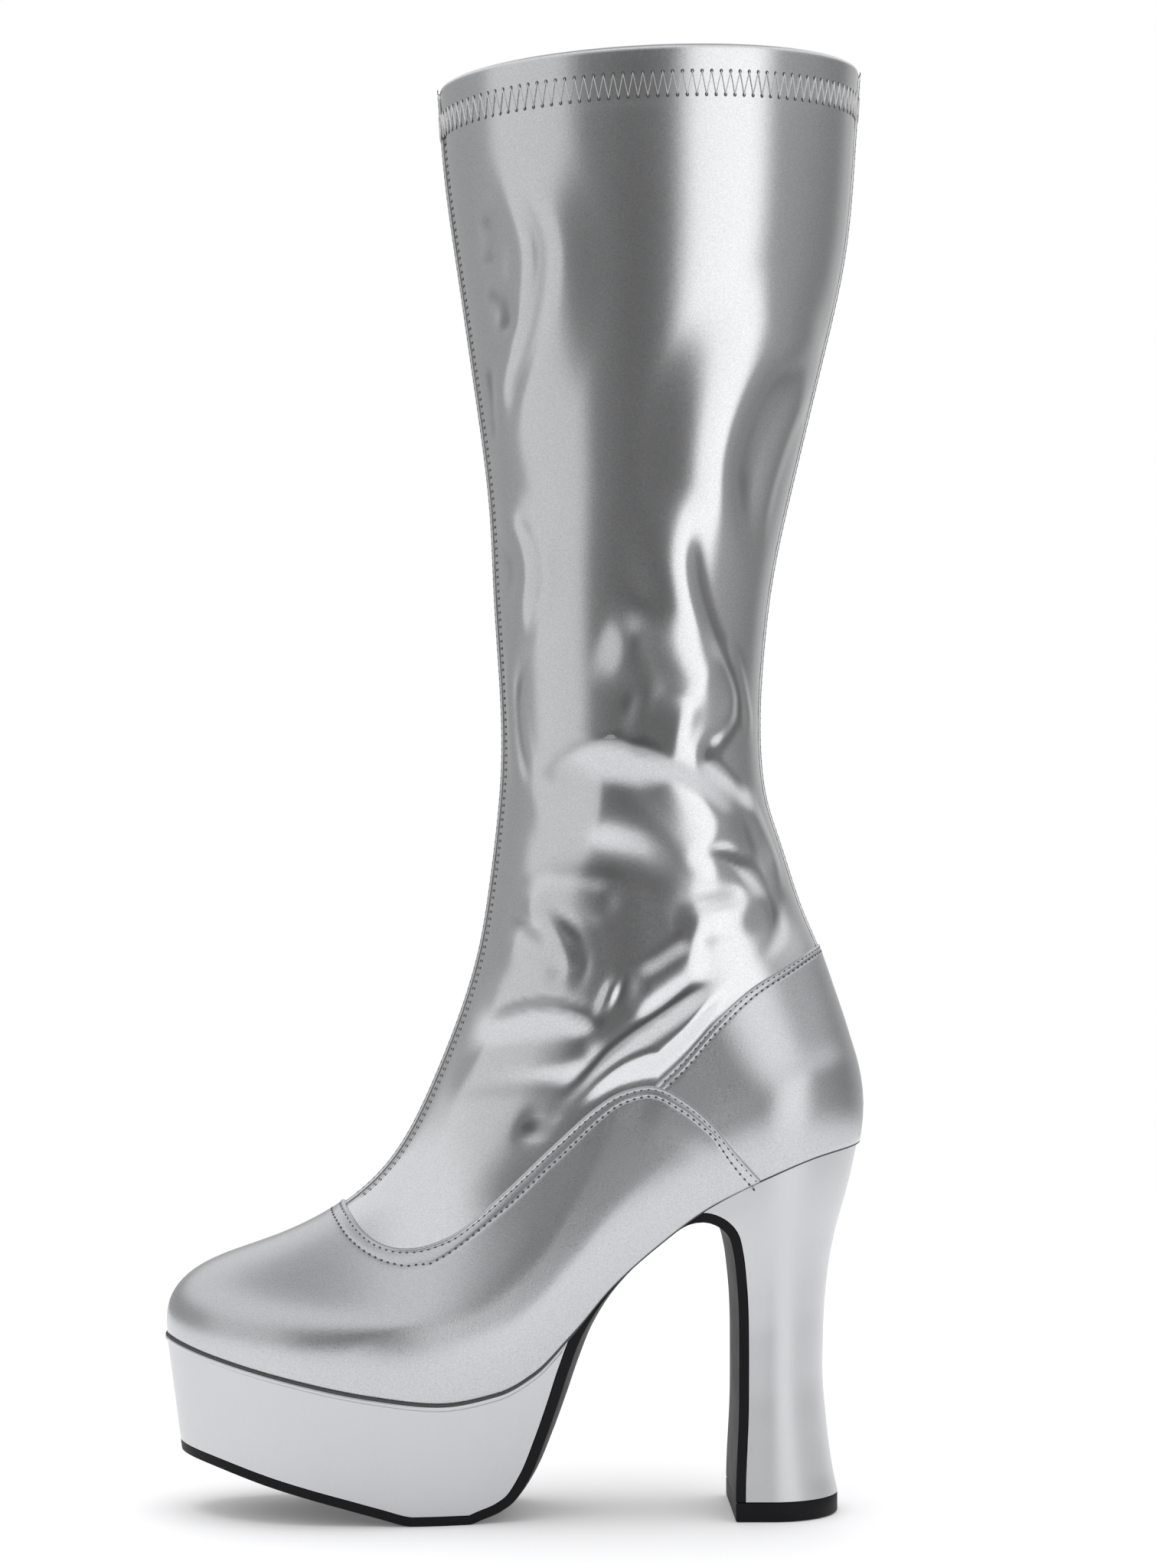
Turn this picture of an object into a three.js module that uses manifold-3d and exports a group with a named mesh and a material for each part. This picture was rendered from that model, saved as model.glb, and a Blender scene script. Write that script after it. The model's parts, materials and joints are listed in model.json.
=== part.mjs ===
import * as THREE from 'three';
import { mergeVertices } from 'three/addons/utils/BufferGeometryUtils.js';
import Module from 'manifold-3d';

const wasm = await Module();
wasm.setup();

// A left platform boot with a high block heel and a pull-on shaft, standing on Z = 0.
// The toe points to -X, the outer side of the foot is -Y, and the origin lies under the
// middle of the heel's tip. All sizes are millimetres.

// Last: the form that the foot part is made on
const lastLength = 232.4;
const heelSetback = 24.4;
const ballWidth = 78;
const waistWidth = 53;
const seatWidth = 59;
const toeSwing = 4;
const toeSpring = 18.4;
const toeBoxHeight = 35.2;

// Heights under and over the foot
const platformHeight = 41;
const heelHeight = 125;
const ankleHeight = 137;
const ankleTilt = 6;
const shaftHeight = 356;
const collarTilt = 6;

// Shaft, measured over its outside
const ankleDepth = 86.2;
const ankleWidth = 67;
const collarDepth = 142;
const collarWidth = 102;

// Sheet thicknesses and running gaps
const upperWall = 1.6;
const hemHeight = 14;
const hemThickness = 0.9;
const vampThickness = 1.2;
const counterThickness = 0.9;
const seamTapeWidth = 6.8;
const seamTapeThickness = 0.6;
const insoleThickness = 2.5;
const clearance = 0.3;

// Sole unit
const outsoleThickness = 3;
const platformLip = 1.8;
const seatLip = 0.2;
const beadHeight = 1.8;
const beadDepth = 0.6;
const sideTaper = 0.22;
const toeTaper = 0.136;
const platformCrown = 4;
const breastCrown = 1.6;
const tipLength = 36;
const tipWidth = 50;
const tipRound = 24;
const liftThickness = 6.5;
const liftDraft = 0.4;

// Levels that the sizes lead to
const toeLevel = platformHeight + toeSpring;
const ankleLevel = heelHeight + ankleHeight;
const collarLevel = heelHeight + shaftHeight;
const liftLevel = liftThickness + clearance;
const farOut = lastLength;

// How finely the forms are divided
const sideSteps = 23;
const bottomSteps = 46;
const outlineSamples = 240;

// Share of the last's length from the back of the seat, as a place on X
const placeX = (along) => heelSetback - along * lastLength;
const mix = (a, b, share) => a + (b - a) * share;
const clampShare = (value) => Math.min(1, Math.max(0, value));
const ease = (value) => clampShare(value) ** 2 * (3 - 2 * clampShare(value));

// Smooth line through a table: cubic pieces whose slopes never overshoot
function curveThrough(rows, from, to) {
  const steps = rows.slice(1).map((row, i) => (row[to] - rows[i][to]) / (row[from] - rows[i][from]));
  const slopes = rows.map((row, i) => {
    const before = steps[Math.max(0, i - 1)];
    const after = steps[Math.min(steps.length - 1, i)];
    return before * after <= 0 ? 0 : (2 * before * after) / (before + after);
  });
  return (place) => {
    let i = 0;
    while (i < rows.length - 2 && place > rows[i + 1][from]) i += 1;
    const width = rows[i + 1][from] - rows[i][from];
    const t = clampShare((place - rows[i][from]) / width);
    const [start, end] = [rows[i][to], rows[i + 1][to]];
    return (
      start * (1 + 2 * t) * (1 - t) ** 2 + end * t * t * (3 - 2 * t) +
      slopes[i] * width * t * (1 - t) ** 2 - slopes[i + 1] * width * t * t * (1 - t)
    );
  };
}

// Feather line, where the upper meets the sole: share of the rise from ball to seat, and of the toe spring
const featherTable = [
  { along: 0, rise: 1, spring: 0 },
  { along: 0.062, rise: 0.963, spring: 0 },
  { along: 0.147, rise: 0.87, spring: 0 },
  { along: 0.224, rise: 0.76, spring: 0 },
  { along: 0.298, rise: 0.607, spring: 0 },
  { along: 0.362, rise: 0.446, spring: 0 },
  { along: 0.423, rise: 0.245, spring: 0 },
  { along: 0.47, rise: 0.111, spring: 0 },
  { along: 0.522, rise: 0.035, spring: 0 },
  { along: 0.6, rise: 0, spring: 0 },
  { along: 0.699, rise: 0, spring: 0.14 },
  { along: 0.815, rise: 0, spring: 0.43 },
  { along: 0.922, rise: 0, spring: 0.745 },
  { along: 1, rise: 0, spring: 1 },
];
const featherRise = curveThrough(featherTable, 'along', 'rise');
const featherSpring = curveThrough(featherTable, 'along', 'spring');

function featherLevel(x) {
  const along = (heelSetback - x) / lastLength;
  const rise = featherRise(along) * (heelHeight - platformHeight);
  return platformHeight + rise + featherSpring(along) * toeSpring;
}

// Foot rings, from the feather line up to the ankle. Front and back are shares of the last's
// length, box of the toe box's height, climb of the way from there to the ankle, backUp of the
// ankle's height over the seat. Dip is how much of the feather line's sag the ring keeps.
// Fore, waist and seat are shares of those widths, grip blends them into the ankle's width,
// and the two rounds are shares of the ring's own length.
const footRings = [
  { front: 1, box: 0, climb: 0, back: 0, backUp: 0, dip: 1,
    fore: 1, waist: 1, seat: 1, grip: 0, toeRound: 0.258, seatRound: 0.142 },
  { front: 1.006, box: 0.19, climb: 0, back: -0.0056, backUp: 0.049, dip: 1,
    fore: 1.035, waist: 1.07, seat: 1.06, grip: 0, toeRound: 0.258, seatRound: 0.142 },
  { front: 0.999, box: 0.38, climb: 0, back: -0.0069, backUp: 0.098, dip: 1,
    fore: 1.055, waist: 1.12, seat: 1.1, grip: 0, toeRound: 0.262, seatRound: 0.146 },
  { front: 0.978, box: 0.557, climb: 0, back: -0.0034, backUp: 0.14, dip: 1,
    fore: 1.05, waist: 1.15, seat: 1.12, grip: 0, toeRound: 0.275, seatRound: 0.15 },
  { front: 0.936, box: 0.713, climb: 0, back: 0, backUp: 0.168, dip: 1,
    fore: 1.035, waist: 1.16, seat: 1.12, grip: 0, toeRound: 0.295, seatRound: 0.155 },
  { front: 0.876, box: 0.83, climb: 0, back: 0.0034, backUp: 0.192, dip: 1,
    fore: 1.02, waist: 1.17, seat: 1.12, grip: 0, toeRound: 0.325, seatRound: 0.162 },
  { front: 0.809, box: 1, climb: 0, back: 0.0082, backUp: 0.217, dip: 0.87,
    fore: 1, waist: 1.17, seat: 1.12, grip: 0.1, toeRound: 0.38, seatRound: 0.185 },
  { front: 0.744, box: 1, climb: 0.051, back: 0.0138, backUp: 0.245, dip: 0.72,
    fore: 0.98, waist: 1.17, seat: 1.12, grip: 0.2, toeRound: 0.435, seatRound: 0.22 },
  { front: 0.691, box: 1, climb: 0.113, back: 0.0202, backUp: 0.28, dip: 0.6,
    fore: 0.96, waist: 1.17, seat: 1.11, grip: 0.35, toeRound: 0.475, seatRound: 0.25 },
  { front: 0.652, box: 1, climb: 0.191, back: 0.0297, backUp: 0.325, dip: 0.5,
    fore: 0.94, waist: 1.16, seat: 1.1, grip: 0.5, toeRound: 0.5, seatRound: 0.28 },
  { front: 0.617, box: 1, climb: 0.293, back: 0.0439, backUp: 0.392, dip: 0.4,
    fore: 0.92, waist: 1.16, seat: 1.08, grip: 0.65, toeRound: 0.51, seatRound: 0.32 },
  { front: 0.582, box: 1, climb: 0.412, back: 0.059, backUp: 0.462, dip: 0.3,
    fore: 0.9, waist: 1.15, seat: 1.06, grip: 0.78, toeRound: 0.515, seatRound: 0.37 },
  { front: 0.553, box: 1, climb: 0.536, back: 0.083, backUp: 0.55, dip: 0.22,
    fore: 0.88, waist: 1.15, seat: 1.05, grip: 0.88, toeRound: 0.515, seatRound: 0.42 },
  { front: 0.534, box: 1, climb: 0.677, back: 0.113, backUp: 0.704, dip: 0.12,
    fore: 0.87, waist: 1.15, seat: 1.05, grip: 0.95, toeRound: 0.51, seatRound: 0.46 },
];

// Leg rings, from the ankle up to the collar. Level is a share of that way, centre a share of
// the last's length, and the two openings are shares of the way from ankle to collar size.
const legRings = [
  { level: -0.116, centre: 0.3275, depthOpen: 0.05, widthOpen: 0, dip: 0.05 },
  { level: 0, centre: 0.3287, depthOpen: 0, widthOpen: 0, dip: 0 },
  { level: 0.169, centre: 0.3272, depthOpen: 0.088, widthOpen: 0.1, dip: 0 },
  { level: 0.359, centre: 0.3143, depthOpen: 0.271, widthOpen: 0.3, dip: 0 },
  { level: 0.548, centre: 0.3042, depthOpen: 0.548, widthOpen: 0.55, dip: 0 },
  { level: 0.739, centre: 0.2984, depthOpen: 0.812, widthOpen: 0.8, dip: 0 },
  { level: 0.868, centre: 0.3016, depthOpen: 0.925, widthOpen: 0.92, dip: 0 },
  { level: 1, centre: 0.3025, depthOpen: 1, widthOpen: 1, dip: 0 },
];

// Both kinds of row as one kind of ring, in millimetres
function footRing(row) {
  const boxTop = toeLevel + toeBoxHeight;
  return {
    front: { x: placeX(row.front), z: toeLevel + row.box * toeBoxHeight + row.climb * (ankleLevel - boxTop) },
    back: { x: placeX(row.back), z: heelHeight + row.backUp * (ankleHeight + ankleTilt) },
    dip: row.dip,
    fore: mix(row.fore * ballWidth, ankleWidth, row.grip),
    waist: mix(row.waist * waistWidth, ankleWidth, row.grip),
    seat: mix(row.seat * seatWidth, ankleWidth, row.grip),
    grip: row.grip,
    toeRound: row.toeRound,
    seatRound: row.seatRound,
  };
}

function legRing(row) {
  const depth = mix(ankleDepth, collarDepth, row.depthOpen);
  const width = mix(ankleWidth, collarWidth, row.widthOpen);
  const height = mix(ankleLevel, collarLevel, row.level);
  const tilt = row.level < 0 ? ankleTilt : mix(ankleTilt, collarTilt, row.level);
  return {
    front: { x: placeX(row.centre) - depth / 2, z: height },
    back: { x: placeX(row.centre) + depth / 2, z: height + tilt },
    dip: row.dip,
    fore: width,
    waist: width,
    seat: width,
    grip: 1,
    toeRound: 0.5,
    seatRound: 0.5,
  };
}

// Extra ring where the folded hem starts, a fixed way below the collar
function hemRing(leg, collar) {
  const share = 1 - hemHeight / (collar.front.z - leg.front.z);
  const between = (a, b) => ({ x: mix(a.x, b.x, share), z: mix(a.z, b.z, share) });
  return {
    ...collar,
    front: between(leg.front, collar.front),
    back: between(leg.back, collar.back),
    fore: mix(leg.fore, collar.fore, share),
    waist: mix(leg.waist, collar.waist, share),
    seat: mix(leg.seat, collar.seat, share),
  };
}

// The leg's table, read at levels between its rows
const legLevels = [-0.116, 0, 0.1, 0.22, 0.34, 0.46, 0.58, 0.72, 0.86, 1];
const legColumns = ['centre', 'depthOpen', 'widthOpen', 'dip'];
const legCurves = legColumns.map((column) => curveThrough(legRings, 'level', column));
const legRow = (level) => Object.fromEntries([
  ['level', level],
  ...legColumns.map((column, i) => [column, legCurves[i](level)]),
]);

const plainRings = [...footRings.map(footRing), ...legLevels.map((level) => legRing(legRow(level)))];
const collarRing = plainRings[plainRings.length - 1];
const rings = [
  ...plainRings.slice(0, -1),
  hemRing(plainRings[plainRings.length - 2], collarRing),
  collarRing,
];

// Where the three widths are measured, and how each is shared between the two sides
const widthStations = [
  { along: 0.13, width: 'seat', outer: 0.5 },
  { along: 0.405, width: 'waist', outer: 0.55 },
  { along: 0.69, width: 'fore', outer: 0.51 },
];

// Half the width of a ring at a place along the foot, before its ends close
function halfWidth(ring, x, side) {
  const along = (heelSetback - x) / lastLength;
  const half = (station) => {
    const outer = mix(station.outer, 0.5, ring.grip);
    return ring[station.width] * (side < 0 ? outer : 1 - outer);
  };
  const [seat, waist, fore] = widthStations;
  if (along < waist.along) {
    return mix(half(seat), half(waist), ease((along - seat.along) / (waist.along - seat.along)));
  }
  return mix(half(waist), half(fore), ease((along - waist.along) / (fore.along - waist.along)));
}

// Round closing of an end, from 0 at its tip to 1 where the round stops
const endRound = (distance, round) => Math.sqrt(Math.max(0, 1 - (1 - clampShare(distance / round)) ** 2));

// The toe's middle line swings to the inner side
function middleY(x) {
  const along = (heelSetback - x) / lastLength;
  const ball = widthStations[2].along;
  return toeSwing * Math.max(0, (along - ball) / (1 - ball)) ** 2;
}

// Sag of the feather line under its own chord. Near a ring's front it follows the share of the
// ring's length, so that the toe keeps its form, and further back it stays over the same place.
const sagReach = 0.55;
function featherSag(x, share) {
  const matched = mix(placeX(1), placeX(0), share);
  const place = mix(matched, Math.min(x, placeX(0)), ease(share / sagReach));
  const chordShare = (place - placeX(1)) / lastLength;
  return featherLevel(place) - mix(featherLevel(placeX(1)), featherLevel(placeX(0)), chordShare);
}

// One point of a ring: share runs from its front to its back, side is -1 outer, 1 inner
function ringPoint(ring, share, side) {
  const x = mix(ring.front.x, ring.back.x, share);
  const length = ring.back.x - ring.front.x;
  const closing = endRound(share, ring.toeRound) * endRound(1 - share, ring.seatRound);
  const y = middleY(x) + side * halfWidth(ring, x, side) * closing;
  const z = mix(ring.front.z, ring.back.z, share) + ring.dip * featherSag(x, share);
  return { point: new THREE.Vector3(x, y, z), length };
}

// Shares that divide the outer side of a ring's outline into equal steps
function evenShares(ring) {
  const shares = [];
  const lengths = [0];
  let last = null;
  for (let i = 0; i <= outlineSamples; i += 1) {
    const share = (1 - Math.cos((Math.PI * i) / outlineSamples)) / 2;
    const { point } = ringPoint(ring, share, -1);
    if (last) lengths.push(lengths[i - 1] + Math.hypot(point.x - last.x, point.y - last.y));
    shares.push(share);
    last = point;
  }
  const total = lengths[outlineSamples];
  return Array.from({ length: sideSteps + 1 }, (_, step) => {
    const target = (total * step) / sideSteps;
    let i = 0;
    while (i < outlineSamples - 1 && lengths[i + 1] < target) i += 1;
    return mix(shares[i], shares[i + 1], (target - lengths[i]) / (lengths[i + 1] - lengths[i]));
  });
}

// A closed loop of points: front, outer side, back, inner side
function ringLoop(ring) {
  const shares = evenShares(ring);
  const outer = shares.map((share) => ringPoint(ring, share, -1).point);
  const inner = shares.slice(1, -1).map((share) => ringPoint(ring, share, 1).point);
  return [...outer, ...inner.reverse()];
}

const upperGrid = rings.map(ringLoop);
const loopCount = 2 * sideSteps;

// Height of the feather line between the loop's own corners, so that faceted pieces mate
const featherStations = upperGrid[0].slice(0, sideSteps + 1);
function matingLevel(x) {
  let i = 0;
  while (i < sideSteps - 1 && x > featherStations[i + 1].x) i += 1;
  const [a, b] = [featherStations[i], featherStations[i + 1]];
  return mix(a.z, b.z, (x - a.x) / (b.x - a.x));
}

// Outward directions of a grid's points
function gridNormals(grid) {
  return grid.map((loop, row) => loop.map((point, i) => {
    const along = loop[(i + 1) % loopCount].clone().sub(loop[(i + loopCount - 1) % loopCount]);
    const up = grid[Math.min(grid.length - 1, row + 1)][i].clone().sub(grid[Math.max(0, row - 1)][i]);
    return along.cross(up).normalize();
  }));
}
const upperNormals = gridNormals(upperGrid);

// The feather line's outline moved outwards in plan, on the mating height
function rimLoop(distanceAt) {
  const loop = upperGrid[0];
  return loop.map((point, i) => {
    const along = loop[(i + 1) % loopCount].clone().sub(loop[(i + loopCount - 1) % loopCount]);
    const out = new THREE.Vector3(along.y, -along.x, 0).normalize();
    const moved = point.clone().addScaledVector(out, distanceAt(point, out));
    moved.z = matingLevel(moved.x);
    return moved;
  });
}

// The upper's own surface moved outwards, with its lowest loop kept on the feather line
function offsetGrid(distance, firstRow = 0, lastRow = rings.length - 1) {
  const moved = upperGrid.slice(firstRow, lastRow + 1).map((loop, row) => loop.map((point, i) => (
    point.clone().addScaledVector(upperNormals[row + firstRow][i], distance)
  )));
  if (firstRow === 0) moved[0] = rimLoop(() => distance);
  return moved;
}

// Bodies are points and triangles until they become three.js geometry
function loftFaces(rows, faces, inward, start = 0) {
  for (let row = 0; row < rows - 1; row += 1) {
    for (let i = 0; i < loopCount; i += 1) {
      const next = (i + 1) % loopCount;
      const [a, b] = [start + row * loopCount + i, start + row * loopCount + next];
      const [c, d] = [b + loopCount, a + loopCount];
      faces.push(...(inward ? [[a, c, b], [a, d, c]] : [[a, b, c], [a, c, d]]));
    }
  }
}

// A sheet between two grids, closed along its lower and upper rims
function sheetBody(outerGrid, innerGrid) {
  const points = [...outerGrid.flat(), ...innerGrid.flat()];
  const faces = [];
  const innerStart = outerGrid.length * loopCount;
  const topOuter = innerStart - loopCount;
  const topInner = innerStart + (innerGrid.length - 1) * loopCount;
  loftFaces(outerGrid.length, faces, false);
  loftFaces(innerGrid.length, faces, true, innerStart);
  for (let i = 0; i < loopCount; i += 1) {
    const next = (i + 1) % loopCount;
    faces.push([i, innerStart + i, innerStart + next], [i, innerStart + next, next]);
    faces.push([topOuter + i, topOuter + next, topInner + next]);
    faces.push([topOuter + i, topInner + next, topInner + i]);
  }
  return { points, faces };
}

// A full body of loops, lowest first, whose ends are closed by strips from side to side
function fullBody(loops) {
  const faces = [];
  loftFaces(loops.length, faces, false);
  const top = (loops.length - 1) * loopCount;
  for (let i = 0; i < sideSteps; i += 1) {
    const [a, b] = [i, i + 1];
    const [c, d] = [(loopCount - i - 1) % loopCount, (loopCount - i) % loopCount];
    const strip = [[a, b, c], [a, c, d]].filter((face) => new Set(face).size === 3);
    faces.push(...strip.map(([p, q, r]) => [p, r, q]));
    faces.push(...strip.map(([p, q, r]) => [top + p, top + q, top + r]));
  }
  return { points: loops.flat(), faces };
}

// A body that runs across the foot, through outlines in the side view that turn
// anticlockwise as seen from the outer side
function acrossBody(outlines) {
  const count = outlines[0].length;
  const points = outlines.flat();
  const contour = outlines[0].map((point) => new THREE.Vector2(point.x, point.z));
  const cap = THREE.ShapeUtils.triangulateShape(contour, []);
  const end = (outlines.length - 1) * count;
  const faces = [...cap, ...cap.map(([a, b, c]) => [end + a, end + c, end + b])];
  for (let row = 0; row < outlines.length - 1; row += 1) {
    for (let i = 0; i < count; i += 1) {
      const [a, b] = [row * count + i, row * count + ((i + 1) % count)];
      faces.push([a, b + count, b], [a, a + count, b + count]);
    }
  }
  return { points, faces };
}

function toSolid({ points, faces }) {
  const vertProperties = new Float32Array(points.flatMap((point) => [point.x, point.y, point.z]));
  const triVerts = new Uint32Array(faces.flat());
  return new wasm.Manifold(new wasm.Mesh({ numProp: 3, vertProperties, triVerts }));
}

// A three.js geometry of one closed shape, such as an extrusion, as a solid
function geometrySolid(geometry) {
  const bare = new THREE.BufferGeometry();
  bare.setAttribute('position', geometry.getAttribute('position'));
  if (geometry.index) bare.setIndex(geometry.index);
  const merged = mergeVertices(bare, 1e-4);
  return new wasm.Manifold(new wasm.Mesh({
    numProp: 3,
    vertProperties: new Float32Array(merged.getAttribute('position').array),
    triVerts: new Uint32Array(merged.index.array),
  }));
}

function bodyGeometry({ points, faces }) {
  const geometry = new THREE.BufferGeometry();
  const numbers = points.flatMap((point) => [point.x, point.y, point.z]);
  geometry.setAttribute('position', new THREE.Float32BufferAttribute(numbers, 3));
  geometry.setIndex(faces.flat());
  return geometry;
}

function solidGeometry(solid) {
  const mesh = solid.getMesh();
  const geometry = new THREE.BufferGeometry();
  geometry.setAttribute('position', new THREE.BufferAttribute(new Float32Array(mesh.vertProperties), 3));
  geometry.setIndex(new THREE.BufferAttribute(new Uint32Array(mesh.triVerts), 1));
  return geometry;
}

// A prism across the whole boot with an outline drawn in the side view
function sidePrism(corners) {
  const shape = new THREE.Shape(corners.map(({ x, z }) => new THREE.Vector2(x, z)));
  const geometry = new THREE.ExtrudeGeometry(shape, { depth: 2 * farOut, bevelEnabled: false });
  geometry.rotateX(Math.PI / 2);
  geometry.translate(0, farOut, 0);
  return geometrySolid(geometry);
}

// Upper: one sheet from the feather line to the collar, thicker inside along the hem
function makeUpper() {
  const innerWall = offsetGrid(-upperWall);
  const hemStart = rings.length - 2;
  const hemGrid = offsetGrid(-upperWall - hemThickness, hemStart);
  return bodyGeometry(sheetBody(upperGrid, [...innerWall.slice(0, hemStart + 1), ...hemGrid]));
}

// Heights of the overlays' edges are shares of the way from the toe's feather line to the ankle
const edgePoint = ({ along, up }) => new THREE.Vector3(placeX(along), 0, mix(toeLevel, ankleLevel, up));
const smoothEdge = (rows, steps) => new THREE.CatmullRomCurve3(rows.map(edgePoint)).getSpacedPoints(steps);

// Vamp's top line, from the middle of the instep down to the ball and up again, then its rear edge
const vampEdge = [
  { along: 0.759, up: 0.24 },
  { along: 0.734, up: 0.207 },
  { along: 0.716, up: 0.184 },
  { along: 0.692, up: 0.166 },
  { along: 0.666, up: 0.158 },
  { along: 0.634, up: 0.16 },
  { along: 0.602, up: 0.172 },
  { along: 0.571, up: 0.192 },
  { along: 0.507, up: 0.257 },
  { along: 0.444, up: 0.327 },
  { along: 0.38, up: 0.393 },
  { along: 0.348, up: 0.415 },
  { along: 0.308, up: 0.425 },
  { along: 0.288, up: 0.42 },
  { along: 0.263, up: 0.404 },
  { along: 0.238, up: 0.3825 },
  { along: 0.213, up: 0.354 },
  { along: 0.188, up: 0.32 },
  { along: 0.148, up: 0.27 },
  { along: 0.125, up: 0.24 },
];

// Counter's top line, from the back seam down to the vamp
const counterEdge = [
  { along: 0.036, up: 0.664 },
  { along: 0.076, up: 0.641 },
  { along: 0.111, up: 0.6175 },
  { along: 0.1635, up: 0.5815 },
  { along: 0.214, up: 0.53 },
  { along: 0.263, up: 0.467 },
  { along: 0.301, up: 0.4245 },
  { along: 0.33, up: 0.392 },
];
const vampTopRow = 12;
const counterTopRow = 13;
const seamFirstRow = 5;
const vampEdgeSteps = 56;
const counterEdgeSteps = 26;

function vampPrism() {
  const line = smoothEdge(vampEdge, vampEdgeSteps);
  const [first, last] = [line[0], line[line.length - 1]];
  return sidePrism([
    { x: -farOut, z: first.z },
    { x: -farOut, z: 0 },
    { x: last.x, z: 0 },
    ...line.reverse(),
  ]);
}

function counterPrism() {
  const line = smoothEdge(counterEdge, counterEdgeSteps);
  const [first, last] = [line[0], line[line.length - 1]];
  return sidePrism([{ x: last.x, z: 0 }, { x: farOut, z: 0 }, { x: farOut, z: first.z }, ...line]);
}

const overlay = (thickness, firstRow, lastRow) => toSolid(sheetBody(
  offsetGrid(clearance + thickness, firstRow, lastRow),
  offsetGrid(clearance, firstRow, lastRow),
));
const vampRegion = vampPrism();
const counterRegion = counterPrism();
const vampKeepOut = vampRegion.add(vampRegion.translate([clearance, 0, clearance]));

function makeVamp() {
  return solidGeometry(overlay(vampThickness, 0, vampTopRow).intersect(vampRegion));
}

function makeCounter() {
  const sheet = overlay(counterThickness, 0, counterTopRow).intersect(counterRegion);
  return solidGeometry(sheet.subtract(vampKeepOut));
}

// Seam tapes run up the front and the back, from the overlays to the collar
function makeSeamTape(side) {
  const half = seamTapeWidth / 2;
  const reach = new THREE.BoxGeometry(farOut, 2 * half, 3 * collarLevel);
  reach.translate(placeX(legRings[1].centre) + (side * farOut) / 2, 0, 0);
  const strip = overlay(seamTapeThickness, seamFirstRow, rings.length - 1).intersect(geometrySolid(reach));
  const lift = [0, 0, clearance];
  return solidGeometry(strip.subtract(vampRegion.translate(lift)).subtract(counterRegion.translate(lift)));
}

// Insole: a sheet that lies on the platform and seat, inside the upper
function makeInsole() {
  const outline = rimLoop(() => -upperWall - clearance);
  const topOutline = outline.map((point) => point.clone().setZ(point.z + insoleThickness));
  return bodyGeometry(fullBody([outline, topOutline]));
}

// Underside of the outsole in the side view, from the toe over the platform, its rear face and
// the waist to the heel's breast. Up is a share of the platform's height, and rise of the way
// from ball to seat. The breast then runs straight down to the front of the heel's tip.
const bottomTable = [
  { along: 0.985, up: 0.5, rise: 0 },
  { along: 0.931, up: 0.44, rise: 0 },
  { along: 0.841, up: 0.298, rise: 0 },
  { along: 0.75, up: 0.16, rise: 0 },
  { along: 0.69, up: 0.066, rise: 0 },
  { along: 0.645, up: 0, rise: 0 },
  { along: 0.56, up: 0, rise: 0 },
  { along: 0.533, up: 0.049, rise: 0 },
  { along: 0.509, up: 0.105, rise: 0 },
  { along: 0.486, up: 0.198, rise: 0 },
  { along: 0.463, up: 0.395, rise: 0 },
  { along: 0.441, up: 0.69, rise: 0 },
  { along: 0.422, up: 0.985, rise: 0 },
  { along: 0.404, up: 1, rise: 0.138 },
  { along: 0.383, up: 1, rise: 0.28 },
  { along: 0.35, up: 1, rise: 0.424 },
  { along: 0.301, up: 1, rise: 0.569 },
  { along: 0.26, up: 1, rise: 0.662 },
  { along: 0.234, up: 1, rise: 0.702 },
  { along: 0.2155, up: 1, rise: 0.69 },
  { along: 0.2, up: 1, rise: 0.65 },
  { along: 0.192, up: 1, rise: 0.577 },
  { along: 0.1865, up: 1, rise: 0.47 },
  { along: 0.185, up: 1, rise: 0.32 },
];

function bottomLine() {
  const corners = bottomTable.map(({ along, up, rise }) => (
    new THREE.Vector3(placeX(along), 0, up * platformHeight + rise * (heelHeight - platformHeight))
  ));
  corners[corners.length - 1].x = -tipLength / 2;
  corners.push(new THREE.Vector3(-tipLength / 2, 0, liftLevel));
  const line = new THREE.CatmullRomCurve3(corners, false, 'centripetal').getSpacedPoints(bottomSteps);
  return line.map((point) => point.setZ(Math.max(0, point.z)));
}

const underside = bottomLine();
const undersideNormals = underside.map((point, i) => {
  const before = underside[Math.max(0, i - 1)];
  const after = underside[Math.min(bottomSteps, i + 1)];
  const along = after.clone().sub(before);
  return new THREE.Vector3(along.z, 0, -along.x).normalize();
});

// Where the platform runs out under the waist, and where the heel block begins over its breast
const platformBack = placeX(0.45);
const heelFront = placeX(0.25);
const layerHeight = outsoleThickness + clearance;
const isThin = (point) => point.x > platformBack && matingLevel(point.x) - point.z < layerHeight;
const platformEnd = underside.findIndex(isThin) - 1;
const breastStart = underside.findIndex((point) => point.x > heelFront);

// The underside moved into the shoe, at a place across it: its steep faces are crowned
function undersideAt(inset, y) {
  const reach = (2 * y) / seatWidth;
  return underside.map((point, i) => {
    const out = undersideNormals[i];
    const fade = ease((point.z - liftLevel) / (platformHeight - liftLevel));
    const crown = out.x > 0 ? platformCrown : breastCrown * fade;
    return new THREE.Vector3(
      point.x - out.x * (inset + crown * reach * reach),
      y,
      Math.max(point.z - out.z * inset, i === bottomSteps ? liftLevel : -farOut),
    );
  });
}

const crossReach = 0.6 * ballWidth;
const crossStations = [-1, -0.5, 0, 0.5, 1].map((share) => share * crossReach);

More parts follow.
